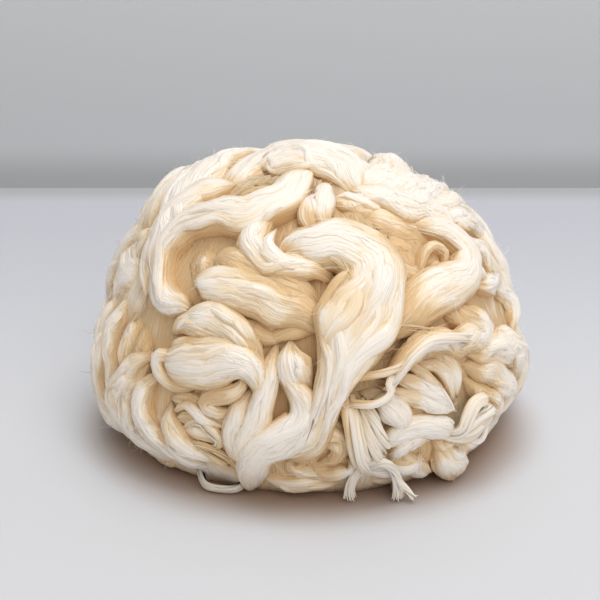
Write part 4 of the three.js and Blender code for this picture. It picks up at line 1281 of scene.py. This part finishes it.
@dataclass
class Heap:
    """The heap: main locks, the sub-locks on them, the body inside, single strands and fine hair.

    Sizes are in metres and angles in degrees. The counts of wisps and strands are for the front and
    the back.
    """

    seed: int = 5
    step: float = 2.6 * MM
    pitch: float = 1.1 * MM
    sub_step: float = 2.4 * MM
    sub_pitch: float = 0.85 * MM
    sub_spacing: float = 4.6 * MM
    back_coarse: float = 1.5
    sink: float = 0.9 * MM
    root: float = 8 * MM
    wisps: tuple[int, int] = (2100, 550)
    strands: tuple[int, int] = (2500, 900)
    veil_strands: int = 480
    veil_wisps: int = 30
    nest_wisps: int = 30
    nest_strands: int = 160
    hair_count: int = 3400
    hair_places: int = 7
    hair_radius: float = 0.085 * MM
    groove_share: float = 0.45
    crown_above: float = 55
    foot_below: float = -6
    left_of: float = -26
    middle_of: float = 14
    finish: FibreFinish = field(default_factory=lambda: FibreFinish("ivory_fibre"))
    wisp_finish: FibreFinish = field(default_factory=lambda: FibreFinish("ivory_wisp", bump=0.4))
    strand_finish: FibreFinish = field(default_factory=lambda: FibreFinish(
        "ivory_strand", crest=(0.975, 0.92, 0.84), streak=0.12, bump=0.2))

    def build(self) -> None:
        """Makes all pieces of the heap and dresses them."""
        rng = np.random.default_rng(self.seed)
        groups, sides = self.lay_locks(rng)
        locks = sides[0] + sides[1]
        relief = Relief(np.concatenate([lock.points.reshape(-1, 3) for lock in locks]))
        fibre, strand, wisp = (
            finish.make() for finish in (self.finish, self.strand_finish, self.wisp_finish))
        laid = {f"heap_{region}": (joined(patches), fibre) for region, patches in groups.items()}
        for name, locks_here, wisps, strands in zip(("front", "back"), sides, self.wisps,
                                                    self.strands):
            laid[f"wisps_{name}"] = self.strewn(WISP, locks_here, wisps, rng), wisp
            laid[f"strands_{name}"] = self.strewn(STRAND, locks_here, strands, rng), strand
        laid["veil_strands"] = self.veiled(STRAND, locks, relief, self.veil_strands, rng), strand
        laid["veil_wisps"] = self.veiled(NEST_WISP, locks, relief, self.veil_wisps, rng), fibre
        laid["nest_wisps"] = self.nested(NEST_WISP, relief, self.nest_wisps, rng), fibre
        laid["nest_strands"] = self.nested(NEST_STRAND, relief, self.nest_strands, rng), strand
        laid["thin_strands"] = self.thin_strands(rng), strand
        laid["fine_hair"] = self.hair(locks, rng), strand
        for name, (patch, material) in laid.items():
            self.dress(name, patch, relief, material)

    def dress(self, name: str, patch: Patch, relief: Relief, material: bpy.types.Material) -> None:
        """Makes one piece of the heap, sets it on the root body, and hides the CAD heap.

        Args:
            name: The piece's name.
            patch: Its mesh.
            relief: Tells how deep it lies.
            material: What it wears.
        """
        # Painted shade: the relief's painted shade plus a share of the groove.
        painted_shade = np.clip(relief.painted_shade(patch.points) + self.groove_share * patch.groove, 0, 1)
        piece = put_mesh(name, patch, painted_shade, material)
        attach(piece, "root")
        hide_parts("heap")

    def lay_locks(self, rng: np.random.Generator) -> tuple[
            dict[str, list[Patch]], tuple[list[Lock], list[Lock]]]:
        """Lays all locks, from those at the front to those at the back, and the body inside.

        Args:
            rng: Draws their relief, maps and tones.

        Returns:
            The patches of each region, and the locks of the front and of the back.
        """
        groups: dict[str, list[Patch]] = {}
        sides: tuple[list[Lock], list[Lock]] = ([], [])
        front = [(name, rows, self.region(rows), 0)
                 for name, rows in (FRONT_LOCKS | EXTRA_LOCKS).items()]
        back = [(f"back_{n}", self.walked(walk), f"back_{n % 2}", 1)
                for n, walk in enumerate(BACK_LOCKS)]
        for name, rows, region, side in front + back:
            coarse = self.back_coarse if side else 1.0
            for lock in self.lay_lock(name, rows, int(rng.integers(1 << 30)), coarse):
                # Less painted groove shade on some locks.
                lock = lock._replace(groove=lock.groove - LESS_SHADED_LOCKS.get(name, 0.0))
                patch = lock_patch(lock, rng.uniform(0, 5), rng.uniform(0, 1))
                groups.setdefault(region, []).append(patch)
                sides[side].append(lock)
        groups["inside"] = [self.inside()]
        return groups, sides

    def region(self, rows: Rows) -> str:
        """The piece that a lock belongs to, by the middle of its rows.

        Args:
            rows: Azimuth, latitude, lift and width of each section.

        Returns:
            The piece's name, without heap.
        """
        azimuth, latitude = np.mean(rows, axis=0)[:2]
        if latitude > self.crown_above:
            return "crown"
        if latitude < self.foot_below:
            return "foot"
        if azimuth < self.left_of:
            return "left"
        return "middle" if azimuth < self.middle_of else "right"

    @staticmethod
    def walked(walk: Walk) -> Rows:
        """The rows of a lock walked over the dome.

        Each stride goes on in the heading, which turns evenly, and both ends sink and narrow by
        sin(pi * share)^0.6.

        Args:
            walk: Its start, heading, turn and sizes.

        Returns:
            Azimuth, latitude, lift and width of each section.
        """
        stride, deepest, narrowest, fewest_turns = 14.0, 6, 0.5, 0.25
        strides = round(walk.length / stride)
        share = np.arange(strides + 1) / strides
        swell = np.sin(np.pi * share) ** 0.6
        course = np.radians(walk.heading + walk.turn * share)
        degrees = np.degrees(stride * MM / DOME.half_width)
        rows, azimuth, latitude = [], walk.azimuth, walk.latitude
        for way, full in zip(course, swell):
            rows.append([azimuth, latitude, walk.lift - deepest * (1 - full),
                         walk.width * (narrowest + (1 - narrowest) * full)])
            azimuth += degrees * np.sin(way) / max(fewest_turns, np.cos(np.radians(latitude)))
            latitude = float(np.clip(latitude + degrees * np.cos(way), *LOCK_LATITUDES))
        return rows

    def lay_lock(self, name: str, rows: Rows, seed: int, coarse: float) -> list[Lock]:
        """Lofts a lock from its rows, and the sub-locks that run along its outer side.

        Some sub-locks lie side by side, and half as many thinner ones lie over them at random.

        Args:
            name: The lock's name, which tells its weave.
            rows: Azimuth, latitude, lift and width of each section.
            seed: Names its random relief.
            coarse: How much wider its points stand.

        Returns:
            The main form and its sub-locks.
        """
        lanes, over_lanes, thinner = 0.75, 0.7, 0.6
        comb = COMBS[WEAVES.get(name, Weave.SILKY)]
        table = np.array(rows, dtype=float)
        points = DOME.place(table[:, 0], table[:, 1], table[:, 2] * MM - self.sink)
        route, at = even_route(points, self.step)
        width = np.interp(at, np.arange(len(table)), table[:, 3]) * MM
        main = loft(route, DOME.outward(route), width, comb, seed, self.root, self.pitch * coarse)
        rng = np.random.default_rng(seed)
        mean = float(width.mean())
        count = int(round(mean / self.sub_spacing))
        locks = [main]
        if count < 2:
            return locks
        for n in range(count):
            lane = (n + 0.5) / count * 2 * lanes - lanes
            locks.append(self.lay_sub(main, lane, mean / count, comb, rng, coarse))
        for n in range(count // 2):
            lane = rng.uniform(-over_lanes, over_lanes)
            locks.append(self.lay_sub(main, lane, thinner * mean / count, comb, rng, coarse))
        return locks

    def lay_sub(self, main: Lock, lane: float, breadth: float, comb: Comb,
                rng: np.random.Generator, coarse: float) -> Lock:
        """A sub-lock that runs in a lane of a main lock and wanders across it.

        Its crest stands proud of the main lock by the comb's share of smooth hills, and both its
        ends sink into it as sin(pi * share)^0.4.

        Args:
            main: The lock that carries it.
            lane: Its middle across the lock, from -1 to 1.
            breadth: Its mean width.
            comb: The relief.
            rng: Draws its wander.
            coarse: How much wider its points stand.

        Returns:
            The lofted sub-lock.
        """
        edge, sway, sway_pitch, swell_pitch = 0.92, 0.4, 22 * MM, 18 * MM
        root, tip, crest, buried = 1.5 * MM, 12 * MM, 0.26, 0.27
        steps = len(main.points)
        start, stop = rng.uniform(0, 0.25), rng.uniform(0.75, 1)
        count = max(8, int((stop - start) * main.distance[-1] / self.sub_step / coarse))
        at = np.linspace(start, stop, count) * (steps - 1)
        seed = int(rng.integers(1 << 30))
        drift = hills(seed, at * self.step / sway_pitch, np.zeros(count)) * sway
        across = np.clip(lane + drift, -edge, edge)
        left = main.across[0] <= -0.999
        outer = int(np.argmax(left)) if left.any() else len(left) // 2
        place = np.interp(across, main.across[0][:outer][::-1], np.arange(outer)[::-1])
        route, normal = bilinear(main.points, at, place), unit(bilinear(main.normals, at, place))
        grow = np.interp(at, np.arange(steps), main.width) / main.width.mean()
        width = breadth * grow * rng.uniform(1.0, 1.5)
        swell = hills(seed + 9, at * self.step / swell_pitch, np.ones(count)) * 0.7 + 0.5
        rise = np.sin(np.pi * np.linspace(0, 1, count)) ** 0.4
        height = (comb.proud * swell * MM + crest * width) * rise - buried * width
        route = smoothed(route, 3) + normal * height[:, None]
        return loft(route, smoothed(normal, 3), width, comb, seed, root, self.sub_pitch * coarse,
                    tip)

    @staticmethod
    def thin_strands(rng: np.random.Generator) -> Patch:
        """The thin twisted strands that cross the locks.

        Args:
            rng: Draws how each is twisted.

        Returns:
            The patch of all of them.
        """
        step, count_per_mm, most_turn, heart = 2.0 * MM, 6, 300, 0.4
        patches = []
        for rows in THIN_STRANDS:
            table = np.array(rows, dtype=float)
            points = DOME.place(table[:, 0], table[:, 1], table[:, 2] * MM)
            route, at = even_route(points, step)
            width = np.interp(at, np.arange(len(table)), table[:, 3]) * MM
            count = int(count_per_mm * width.mean() / MM)
            turn, seed = rng.uniform(-most_turn, most_turn), int(rng.integers(1 << 30))
            patches.append(bundle(route, width, count, turn, seed, heart))
        return joined(patches)

    @staticmethod
    def inside() -> Patch:
        """The fibre under the locks: the dome, 7 mm in above and 4 mm below, with crimped relief.

        Returns:
            Its patch: a grid of azimuth and latitude, closed by a fan at both ends.
        """
        cols, rows, sink, tall = 144, 48, 62 * MM, 1.2 * MM
        azimuth, latitude = np.meshgrid(np.linspace(-180, 180, cols + 1)[:-1],
                                        np.linspace(-88, 88, rows), indexing="ij")
        upper = grown(latitude, -20, 40)
        lift = -(4 + 3 * upper * upper * (3 - 2 * upper)) * MM
        bent = azimuth / 5 + hills(12, azimuth / 9, latitude / 9)
        lift = lift + tall * ridges(11, bent, latitude / 12)
        points = settle(DOME.place(azimuth, latitude, lift, sink))
        ends = points[:, :1].mean(0), points[:, -1:].mean(0)
        flat = np.concatenate([points.reshape(-1, 3), *ends])
        i, j = np.meshgrid(np.arange(cols), np.arange(rows - 1), indexing="ij")
        k = (i + 1) % cols
        quads = np.stack([i * rows + j, k * rows + j, k * rows + j + 1, i * rows + j + 1], -1)
        i = np.arange(cols)
        k = (i + 1) % cols
        low, high = len(flat) - 2, len(flat) - 1
        tris = np.concatenate([
            np.stack([k * rows, i * rows, np.full(cols, low)], -1),
            np.stack([i * rows + rows - 1, k * rows + rows - 1, np.full(cols, high)], -1)])
        maps = np.stack([latitude.ravel(), azimuth.ravel()], -1) * 0.0015
        return Patch(flat, quads.reshape(-1, 4), tris, np.concatenate([maps, np.zeros((2, 2))]),
                     np.full(len(flat), 0.5), np.zeros(len(flat)), np.zeros_like(flat))

    @staticmethod
    def shared_out(locks: list[Lock], count: int, rng: np.random.Generator, plain: float,
                   fuzzy: float) -> Numbers:
        """How many strands each lock gets, by chance and in proportion to its area.

        Args:
            locks: The locks.
            count: How many in all.
            rng: Draws the lock of each.
            plain: The part of a lock's weight that is the same for all weaves.
            fuzzy: The part that grows with its fuzz.

        Returns:
            The number for each lock.
        """
        weight = np.array([lock.area * (plain + fuzzy * lock.comb.fuzz) for lock in locks])
        chosen = rng.choice(len(locks), count, p=weight / weight.sum())
        return np.bincount(chosen, minlength=len(locks))

    def strewn(self, lay: Lay, locks: list[Lock], count: int, rng: np.random.Generator) -> Patch:
        """Strands that follow the locks, a little proud of them and thinner at both ends.

        Args:
            lay: How they lie.
            locks: The locks that carry them.
            count: How many in all.
            rng: Draws where each lies.

        Returns:
            The patch of all of them.
        """
        share = self.shared_out(locks, count, rng, 0.7, 0.3)
        laid = [self.strewn_on(lay, lock, number, rng)
                for lock, number in zip(locks, share) if number]
        path, normal, groove, slim = (np.concatenate(parts) for parts in zip(*laid))
        return self.tapered(lay, path, normal, rng, groove, slim)

    def strewn_on(self, lay: Lay, lock: Lock, number: int,
                  rng: np.random.Generator) -> tuple[Array, Array, Array, Array]:
        """The paths of strands that follow one lock.

        A strand's lane wanders across its lock by an even drift and by waves that neighbours share.
        What would run past an end of the lock goes straight on, down and a little aside.

        Args:
            lay: How they lie.
            lock: The lock that carries them.
            number: How many.
            rng: Draws where each lies.

        Returns:
            Paths, normals, the groove at each place, and how much slimmer each strand is.
        """
        wave_pitch, full_width, slimmest, groove_share = 9 * MM, 11 * MM, 0.35, 0.8
        overhang, most_overhang, buried, droop, splay = 5 * MM, 0.3, 0.25, 0.3, 0.35
        run = np.linspace(0, 1, lay.places)[None, :]
        steps, far, wide = len(lock.points), lock.distance[-1], float(lock.width.mean()) * 1.3
        along = np.clip(rng.uniform(*lay.length, (number, 1)) / far, 0.1, 0.97)
        past = np.minimum(overhang / far, most_overhang)
        start = np.clip(rng.uniform(-0.35, 1.35, (number, 1)) * (1 - along), -past,
                        1 - along + past)
        at = (start + along * run) * (steps - 1)
        over = at - np.clip(at, 0.5, steps - 1.5)
        at = at - over
        lane = rng.uniform(0.07, 0.93, (number, 1))
        wild = lock.comb.fuzz * lay.wave / wide
        pace = at / (steps - 1) * far
        wave = np.sin(2 * np.pi * pace / wave_pitch + 4 * lane + rng.normal(0, 0.7, (number, 1)))
        drift = rng.normal(0, 0.6, (number, 1)) * lay.drift / wide * (run - 0.5)
        place = np.clip(lane + drift + wild * wave, 0.04, 0.96) * (lock.outer - 1)
        normal = unit(bilinear(lock.normals, at, place))
        proud = rng.gamma(1.4, lay.proud / 1.4, (number, 1)) * lock.comb.fuzz**0.4
        height = (proud * np.sin(np.pi * run) ** 0.7 - buried * lay.radius[0]
                  - droop * np.abs(over) * self.step)
        ahead = unit(lock.course(at - 0.5, at + 0.5, place))
        aside = np.cross(ahead, normal) * rng.normal(0, splay, (number, 1, 1))
        beyond = (ahead * np.sign(over)[..., None] + aside) * np.abs(over)[..., None] * self.step
        path = bilinear(lock.points, at, place) + normal * height[..., None] + beyond
        # Strands take a share of the painted groove shade of the lock under them.
        groove = groove_share * bilinear(lock.groove[..., None], at, place)[..., 0]
        slim = np.full((number, 1), np.clip(lock.width.mean() / full_width, slimmest, 1))
        return path, normal, groove, slim

    @staticmethod
    def tapered(lay: Lay, path: Array, normal: Array, rng: np.random.Generator,
                groove: Array | float = 0.0, slim: Array | float = 1.0) -> Patch:
        """Strands along paths, thinner at both ends as sin(pi * share)^0.6.

        Args:
            lay: Their section and radii.
            path: The paths.
            normal: The direction that the mass under each place faces.
            rng: Draws their radii and tones.
            groove: How deep in a groove each place lies.
            slim: How much slimmer each strand is.

        Returns:
            The patch of all of them.
        """
        end, own_shading = 0.12, 0.3
        taper = end + (1 - end) * np.sin(np.pi * np.linspace(0, 1, lay.places)) ** 0.6
        radii = np.maximum(lay.radius[0], rng.uniform(*lay.radius, (len(path), 1)) * slim)
        return tubes(path, normal, radii * taper[None, :], rng.uniform(0, 1, len(path)), lay.ring,
                     normal, own_shading, groove)

    @staticmethod
    def strolled(lay: Lay, azimuth: Array, latitude: Array, heading: Array,
                 length: Array) -> tuple[Array, Array]:
        """Walks over the dome: each stride goes on in its heading, and the middle one starts at the
        given place.

        Args:
            lay: Tells how many strides.
            azimuth: Where each walk's middle is, one a row.
            latitude: The same.
            heading: The heading at each place, in radians.
            length: The length of each walk.

        Returns:
            Azimuth and latitude at each place.
        """
        middle, stride = lay.places // 2, length / (lay.places - 1) / DOME.half_width
        north, east = (np.degrees(np.cumsum(part(heading) * stride, axis=1))
                       for part in (np.cos, np.sin))
        latitude = np.clip(latitude + north - north[:, middle, None], *STRAND_LATITUDES)
        return azimuth + (east - east[:, middle, None]) / np.cos(np.radians(latitude)), latitude

    def veiled(self, lay: Lay, locks: list[Lock], relief: Relief, count: int,
               rng: np.random.Generator) -> Patch:
        """Strands that leave their lock at a small angle and lie over its neighbours, at the height
        of the smoothed crests.

        Args:
            lay: Their sizes.
            locks: The locks that they start on.
            relief: The height of the crests.
            count: How many in all.
            rng: Draws where each lies.

        Returns:
            The patch of all of them.
        """
        veer, bend, shorter, end_drop = 0.3, 1.0, 0.55, 2.5 * MM
        share = self.shared_out(locks, count, rng, 1.0, 0.0)
        feet, ways = [], []
        for lock, number in zip(locks, share):
            at = rng.uniform(0.05, 0.95, (number, 1)) * (len(lock.points) - 1)
            place = rng.uniform(0.15, 0.85, (number, 1)) * (lock.outer - 1)
            feet.append(bilinear(lock.points, at, place))
            ways.append(lock.course(at - 0.5, at + 0.5, place))
        foot, way = np.concatenate(feet)[:, 0], unit(np.concatenate(ways)[:, 0])
        azimuth, latitude, _ = DOME.read(foot)
        next_azimuth, next_latitude, _ = DOME.read(foot + way * MM)
        turn = (next_azimuth - azimuth + 180) % 360 - 180
        heading = np.arctan2(turn * np.cos(np.radians(latitude)), next_latitude - latitude)
        run = np.linspace(-0.5, 0.5, lay.places)[None, :]
        heading = (heading[:, None] + rng.normal(0, veer, (count, 1))
                   + rng.normal(0, bend, (count, 1)) * run)
        length = rng.uniform(*lay.length, (count, 1)) * shorter
        azimuth, latitude = self.strolled(lay, azimuth[:, None], latitude[:, None], heading, length)
        lift = smoothed(relief.height(azimuth, latitude).T, 2).T
        lift = lift - rng.uniform(0.2, 1.6, (count, 1)) * MM - end_drop * np.abs(2 * run) ** 4
        path = DOME.place(azimuth, latitude, lift)
        return self.tapered(lay, path, DOME.outward(path), rng)

    def nested(self, lay: Lay, relief: Relief, count: int, rng: np.random.Generator) -> Patch:
        """Strands that lie across each other in the hollows.

        Each walks over the dome in a heading that keeps turning, at a height between the body
        inside and the crests. They start at the lowest of many places.

        Args:
            lay: Their sizes.
            relief: Tells where the hollows are.
            count: How many in all.
            rng: Draws where each lies.

        Returns:
            The patch of all of them.
        """
        tries, lowest, scatter, above = 12 * count, 4 * count, 1.5 * MM, 3 * MM
        # Strands in the hollows carry a fixed groove, painted as shade.
        bend, shorter, groove = 2.8, 0.8, 0.6
        azimuth = rng.uniform(-100, 100, tries)
        latitude = np.degrees(np.arcsin(rng.uniform(-0.25, 0.98, tries)))
        height = relief.height(azimuth, latitude) + rng.normal(0, scatter, tries)
        pick = rng.choice(np.argsort(height)[:lowest], count, replace=False)
        azimuth, latitude, floor = azimuth[pick, None], latitude[pick, None], height[pick, None]
        run = np.linspace(-0.5, 0.5, lay.places)[None, :]
        length = rng.uniform(*lay.length, (count, 1)) * shorter
        heading = rng.uniform(0, 2 * np.pi, (count, 1)) + rng.normal(0, bend, (count, 1)) * run
        azimuth, latitude = self.strolled(lay, azimuth, latitude, heading, length)
        over = rng.uniform(-6.0, -2.5, (count, 1)) * MM
        lift = np.minimum(relief.height(azimuth, latitude), floor + above) + over
        lift = np.maximum(lift, rng.uniform(-6.4, -4.8, (count, 1)) * MM)
        path = DOME.place(azimuth, latitude, smoothed(lift.T, 3).T)
        return self.tapered(lay, path, DOME.outward(path), rng, groove)

    def hair(self, locks: list[Lock], rng: np.random.Generator) -> Patch:
        """Fine hair that stands out of the locks.

        Args:
            locks: The locks.
            rng: Draws each hair.

        Returns:
            The patch of all of it.
        """
        tip, darkest, own_shading = 0.4, 0.3, 0.4
        share = self.shared_out(locks, self.hair_count, rng, 0.0, 1.0)
        grown_on = [self.hair_on(lock, number, rng) for lock, number in zip(locks, share) if number]
        path, normal = (np.concatenate(parts) for parts in zip(*grown_on))
        radii = (self.hair_radius * rng.uniform(0.6, 1.3, (len(path), 1))
                 * np.linspace(1, tip, self.hair_places)[None, :])
        tone = rng.uniform(0, darkest, len(path))
        return tubes(path, normal + 0.05, radii, tone, rounded(3), normal, own_shading)

    def hair_on(self, lock: Lock, number: int, rng: np.random.Generator) -> tuple[Array, Array]:
        """The paths of hairs on one lock: each step goes on in a direction that is turned a little
        at random, from along the lock towards outwards.

        Args:
            lock: The lock.
            number: How many.
            rng: Draws each hair.

        Returns:
            Paths and normals.
        """
        steps, places, curl, buried = len(lock.points), self.hair_places, 0.6, 0.2
        at = rng.uniform(0.03, 0.97, (number, 1)) * (steps - 1)
        place = rng.uniform(0.0, 1.0, (number, 1)) * (lock.outer - 1)
        foot, normal = bilinear(lock.points, at, place), unit(bilinear(lock.normals, at, place))
        behind, beyond = (np.clip(at + side, 0, steps - 1) for side in (-1, 1))
        ahead = unit(lock.course(behind, beyond, place)) * rng.choice([-1.0, 1.0], (number, 1, 1))
        turn = np.cumsum(rng.normal(0, curl, (number, places, 3)), axis=1)
        way = unit(ahead + normal * rng.uniform(0.05, 0.6, (number, 1, 1)) + turn)
        stride = rng.uniform(2.0, 7.5, (number, 1, 1)) * MM / places
        path = foot - normal * buried * MM + np.cumsum(way * stride, axis=1)
        return path, np.repeat(normal, places, axis=1)


@dataclass
class LooseStrand:
    """A lightly twisted strand along a route."""

    name: str
    rows: Rows
    diameter: float
    strands: int = 46
    seed: int = 3
    turn: float = 240.0
    step: float = 1.0 * MM

    def route(self) -> Array:
        """The route in metres, evenly stepped."""
        points = np.array(self.rows, dtype=float) * MM + np.array([DOME.x, DOME.y, 0.0])
        return even_route(points, self.step)[0]

    def build(self, material: bpy.types.Material) -> bpy.types.Object:
        """Makes the piece and sets it on its body.

        Args:
            material: What it wears.

        Returns:
            The piece.
        """
        most_painted_shade, fades_over = 0.25, 20 * MM
        core = self.route()
        diameter = np.full(len(core), self.diameter)
        patch = bundle(core, diameter, self.strands, self.turn, self.seed)
        # Painted warm shade, strongest at the table and fading upwards.
        painted_shade = np.clip(most_painted_shade - patch.points[:, 2] / fades_over, 0, most_painted_shade)
        piece = put_mesh(self.name, patch, painted_shade, material)
        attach(piece, "root")
        return piece


class Ramp(NamedTuple):
    """A change of colour between two places along an axis."""

    axis: str
    low: float
    high: float
    colour: Colour


class Lamp(NamedTuple):
    """A square soft light that is aimed at the heap: its place, its side and its power in watts."""

    name: str
    place: tuple[float, float, float]
    side: float
    power: float


@dataclass
class Studio:
    """A pale table, a grey wall far behind it, a camera as in the photograph, and soft light."""

    edge: float = 0.364
    rounding: float = 0.003
    drop: float = 0.16
    below: float = 0.0003
    wall: float = 0.9
    reach: float = 6.0
    top: float = 2.5
    table_colour: Colour = (0.62, 0.63, 0.66)
    wall_colour: Colour = (0.53, 0.54, 0.56)
    shade: Colour = (0.56, 0.39, 0.285)
    surround: Colour = (1.0, 0.97, 0.92)
    surround_strength: float = 0.56
    roughness: float = 0.6
    elevation: float = 20.0
    distance: float = 0.586
    target: tuple[float, float, float] = (-0.0042, 0.00143, 0.0515)
    lens: float = 85.0
    aim: tuple[float, float, float] = (0.0, 0.0, 0.05)
    lamps: tuple[Lamp, ...] = (
        Lamp("overhead", (0.42, -0.12, 2.45), 1.7, 29.1),
        Lamp("front", (0.60, -1.4, 1.15), 1.4, 10.5),
    )

    def camera(self) -> None:
        """The camera, at its distance from the target."""
        data = bpy.data.cameras.new("camera")
        data.lens = self.lens
        data.clip_start = 0.01
        eye = bpy.data.objects.new("camera", data)
        lean = np.radians(self.elevation)
        x, y, z = self.target
        eye.location = (x, y - self.distance * np.cos(lean), z + self.distance * np.sin(lean))
        eye.rotation_euler = (np.pi / 2 - lean, 0.0, 0.0)
        bpy.context.scene.collection.objects.link(eye)
        bpy.context.scene.camera = eye

    def backdrop(self) -> None:
        """The table with its rounded far edge, and the wall behind it, where no view has it in
        front of the heap."""
        turn = np.linspace(0, np.pi / 2, 24)
        edge = np.stack([self.edge - self.rounding * (1 - np.sin(turn)),
                         self.rounding * (np.cos(turn) - 1)], -1)
        table = np.concatenate([
            [[-self.reach, 0.0]], edge, [[self.edge, -self.drop], [self.wall, -self.drop]]])
        # Painted shade on the table: darker towards the back, and darker still just before its far
        # edge.
        self.sheet("pale_table", table, self.table_colour, (
            Ramp("Y", -0.05, 0.34, (0.51, 0.522, 0.572)),
            Ramp("Y", self.edge - 0.040, self.edge - 0.006, (0.40, 0.405, 0.415))), True)
        # Painted shade on the wall: darkest at its foot, below the table's edge, and lighter
        # upwards.
        wall = np.array([[self.wall, -self.drop], [self.wall, self.top]])
        self.sheet("grey_wall", wall, self.wall_colour, (
            Ramp("Z", -0.142, -0.100, (0.71, 0.725, 0.76)),
            Ramp("Z", -0.085, 0.074, (0.74, 0.755, 0.79))), False)

    def sheet(self, name: str, profile: Array, base: Colour, ramps: tuple[Ramp, ...],
              shaded: bool) -> None:
        """A sheet drawn out sideways from its profile, with its colour along the way.

        Args:
            name: The name of the sheet and of its material.
            profile: Places across, as y and z.
            base: The first colour.
            ramps: The colours that follow.
            shaded: Whether the heap's warm shade falls on it.
        """
        across = np.array([[-self.reach], [self.reach]])
        line = (profile - [0.0, self.below])[:, None, :]
        points = np.concatenate([np.broadcast_to(across, (len(profile), 2, 1)),
                                 np.broadcast_to(line, (len(profile), 2, 2))], -1).reshape(-1, 3)
        i = 2 * np.arange(len(profile) - 1)
        mesh = bpy.data.meshes.new(name)
        mesh.from_pydata(points.tolist(), [], np.stack([i, i + 1, i + 3, i + 2], -1).tolist())
        graph = Graph(name, self.roughness)
        place = graph.add("TexCoord", {}).outputs["Object"]
        apart = graph.add("SeparateXYZ", {"Vector": place})
        colour: Colour | bpy.types.NodeSocket = (*base, 1)
        for ramp in ramps:
            share = graph.add("MapRange", {
                "Value": apart.outputs[ramp.axis], "From Min": ramp.low, "From Max": ramp.high},
                interpolation_type="SMOOTHSTEP")
            mix = graph.add("Mix", {"Factor": share.outputs["Result"], "A": colour,
                                    "B": (*ramp.colour, 1)}, data_type="RGBA")
            colour = mix.outputs["Result"]
        if shaded:
            colour = graph.tinted(colour, self.shade, self.near_heap(graph, place))
        graph.feed(graph.shader, {"Base Color": colour})
        mesh.materials.append(graph.material)
        sheet = bpy.data.objects.new(name, mesh)
        bpy.context.scene.collection.objects.link(sheet)

    @staticmethod
    def near_heap(graph: Graph, place: bpy.types.NodeSocket) -> bpy.types.NodeSocket:
        """How near to the heap the table is, in an oval under and round it.

        Args:
            graph: The table's nodes.
            place: The place on the table.

        Returns:
            From 0 outside to 1 inside.
        """
        flat = graph.add("Mapping", {"Vector": place, "Location": (0.0, 0.04, 0.0),
                                     "Scale": (11.2, 11.6, 0.0)})
        away = graph.add("VectorMath", {0: flat.outputs["Vector"]}, operation="LENGTH")
        near = graph.add("MapRange", {"Value": away.outputs["Value"], "From Min": 1.15,
                                      "From Max": 0.8}, interpolation_type="SMOOTHSTEP")
        return near.outputs["Result"]

    def lights(self) -> None:
        """A large soft light overhead, a weak one from the front, and an even surround."""
        scene = bpy.context.scene
        for lamp in self.lamps:
            data = bpy.data.lights.new(lamp.name, "AREA")
            data.size = lamp.side
            data.energy = lamp.power
            light = bpy.data.objects.new(lamp.name, data)
            light.location = lamp.place
            x, y, z = np.array(self.aim) - np.array(lamp.place)
            light.rotation_euler = (np.arctan2(np.hypot(x, y), -z), 0.0, np.arctan2(-x, y))
            scene.collection.objects.link(light)
        scene.world = bpy.data.worlds.new("surround")
        scene.world.use_nodes = True
        surround = scene.world.node_tree.nodes["Background"].inputs
        surround["Color"].default_value = (*self.surround, 1)
        surround["Strength"].default_value = self.surround_strength
        scene.view_settings.view_transform = "Standard"


def keep_size() -> None:
    """Updates the view layer."""
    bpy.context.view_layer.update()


def main() -> None:
    """Builds the camera, the loose end and its small strands, the heap, then the backdrop and the
    lights.
    """
    studio = Studio()
    studio.camera()
    twisted = FibreFinish("twisted_strand", crest=(0.97, 0.92, 0.85), streak=0.15, bump=0.3).make()
    end = LooseStrand("loose_end_strand", LOOSE_END_ROUTE, 4.2 * MM)
    piece = end.build(twisted)
    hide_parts("loose_end")
    path = end.route()
    for name, rows, thickness in (("handle_strand", HANDLE_ROUTE, 3.4 * MM),
                                  ("root_strand", ROOT_ROUTE, 4.0 * MM),
                                  ("tip_strand", TIP_ROUTE, 3.0 * MM)):
        small = LooseStrand(name, rows, thickness, strands=30, seed=len(name)).build(twisted)
        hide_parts("heap")
    Heap().build()
    studio.backdrop()
    studio.lights()
    keep_size()


if __name__ == "__main__":
    main()
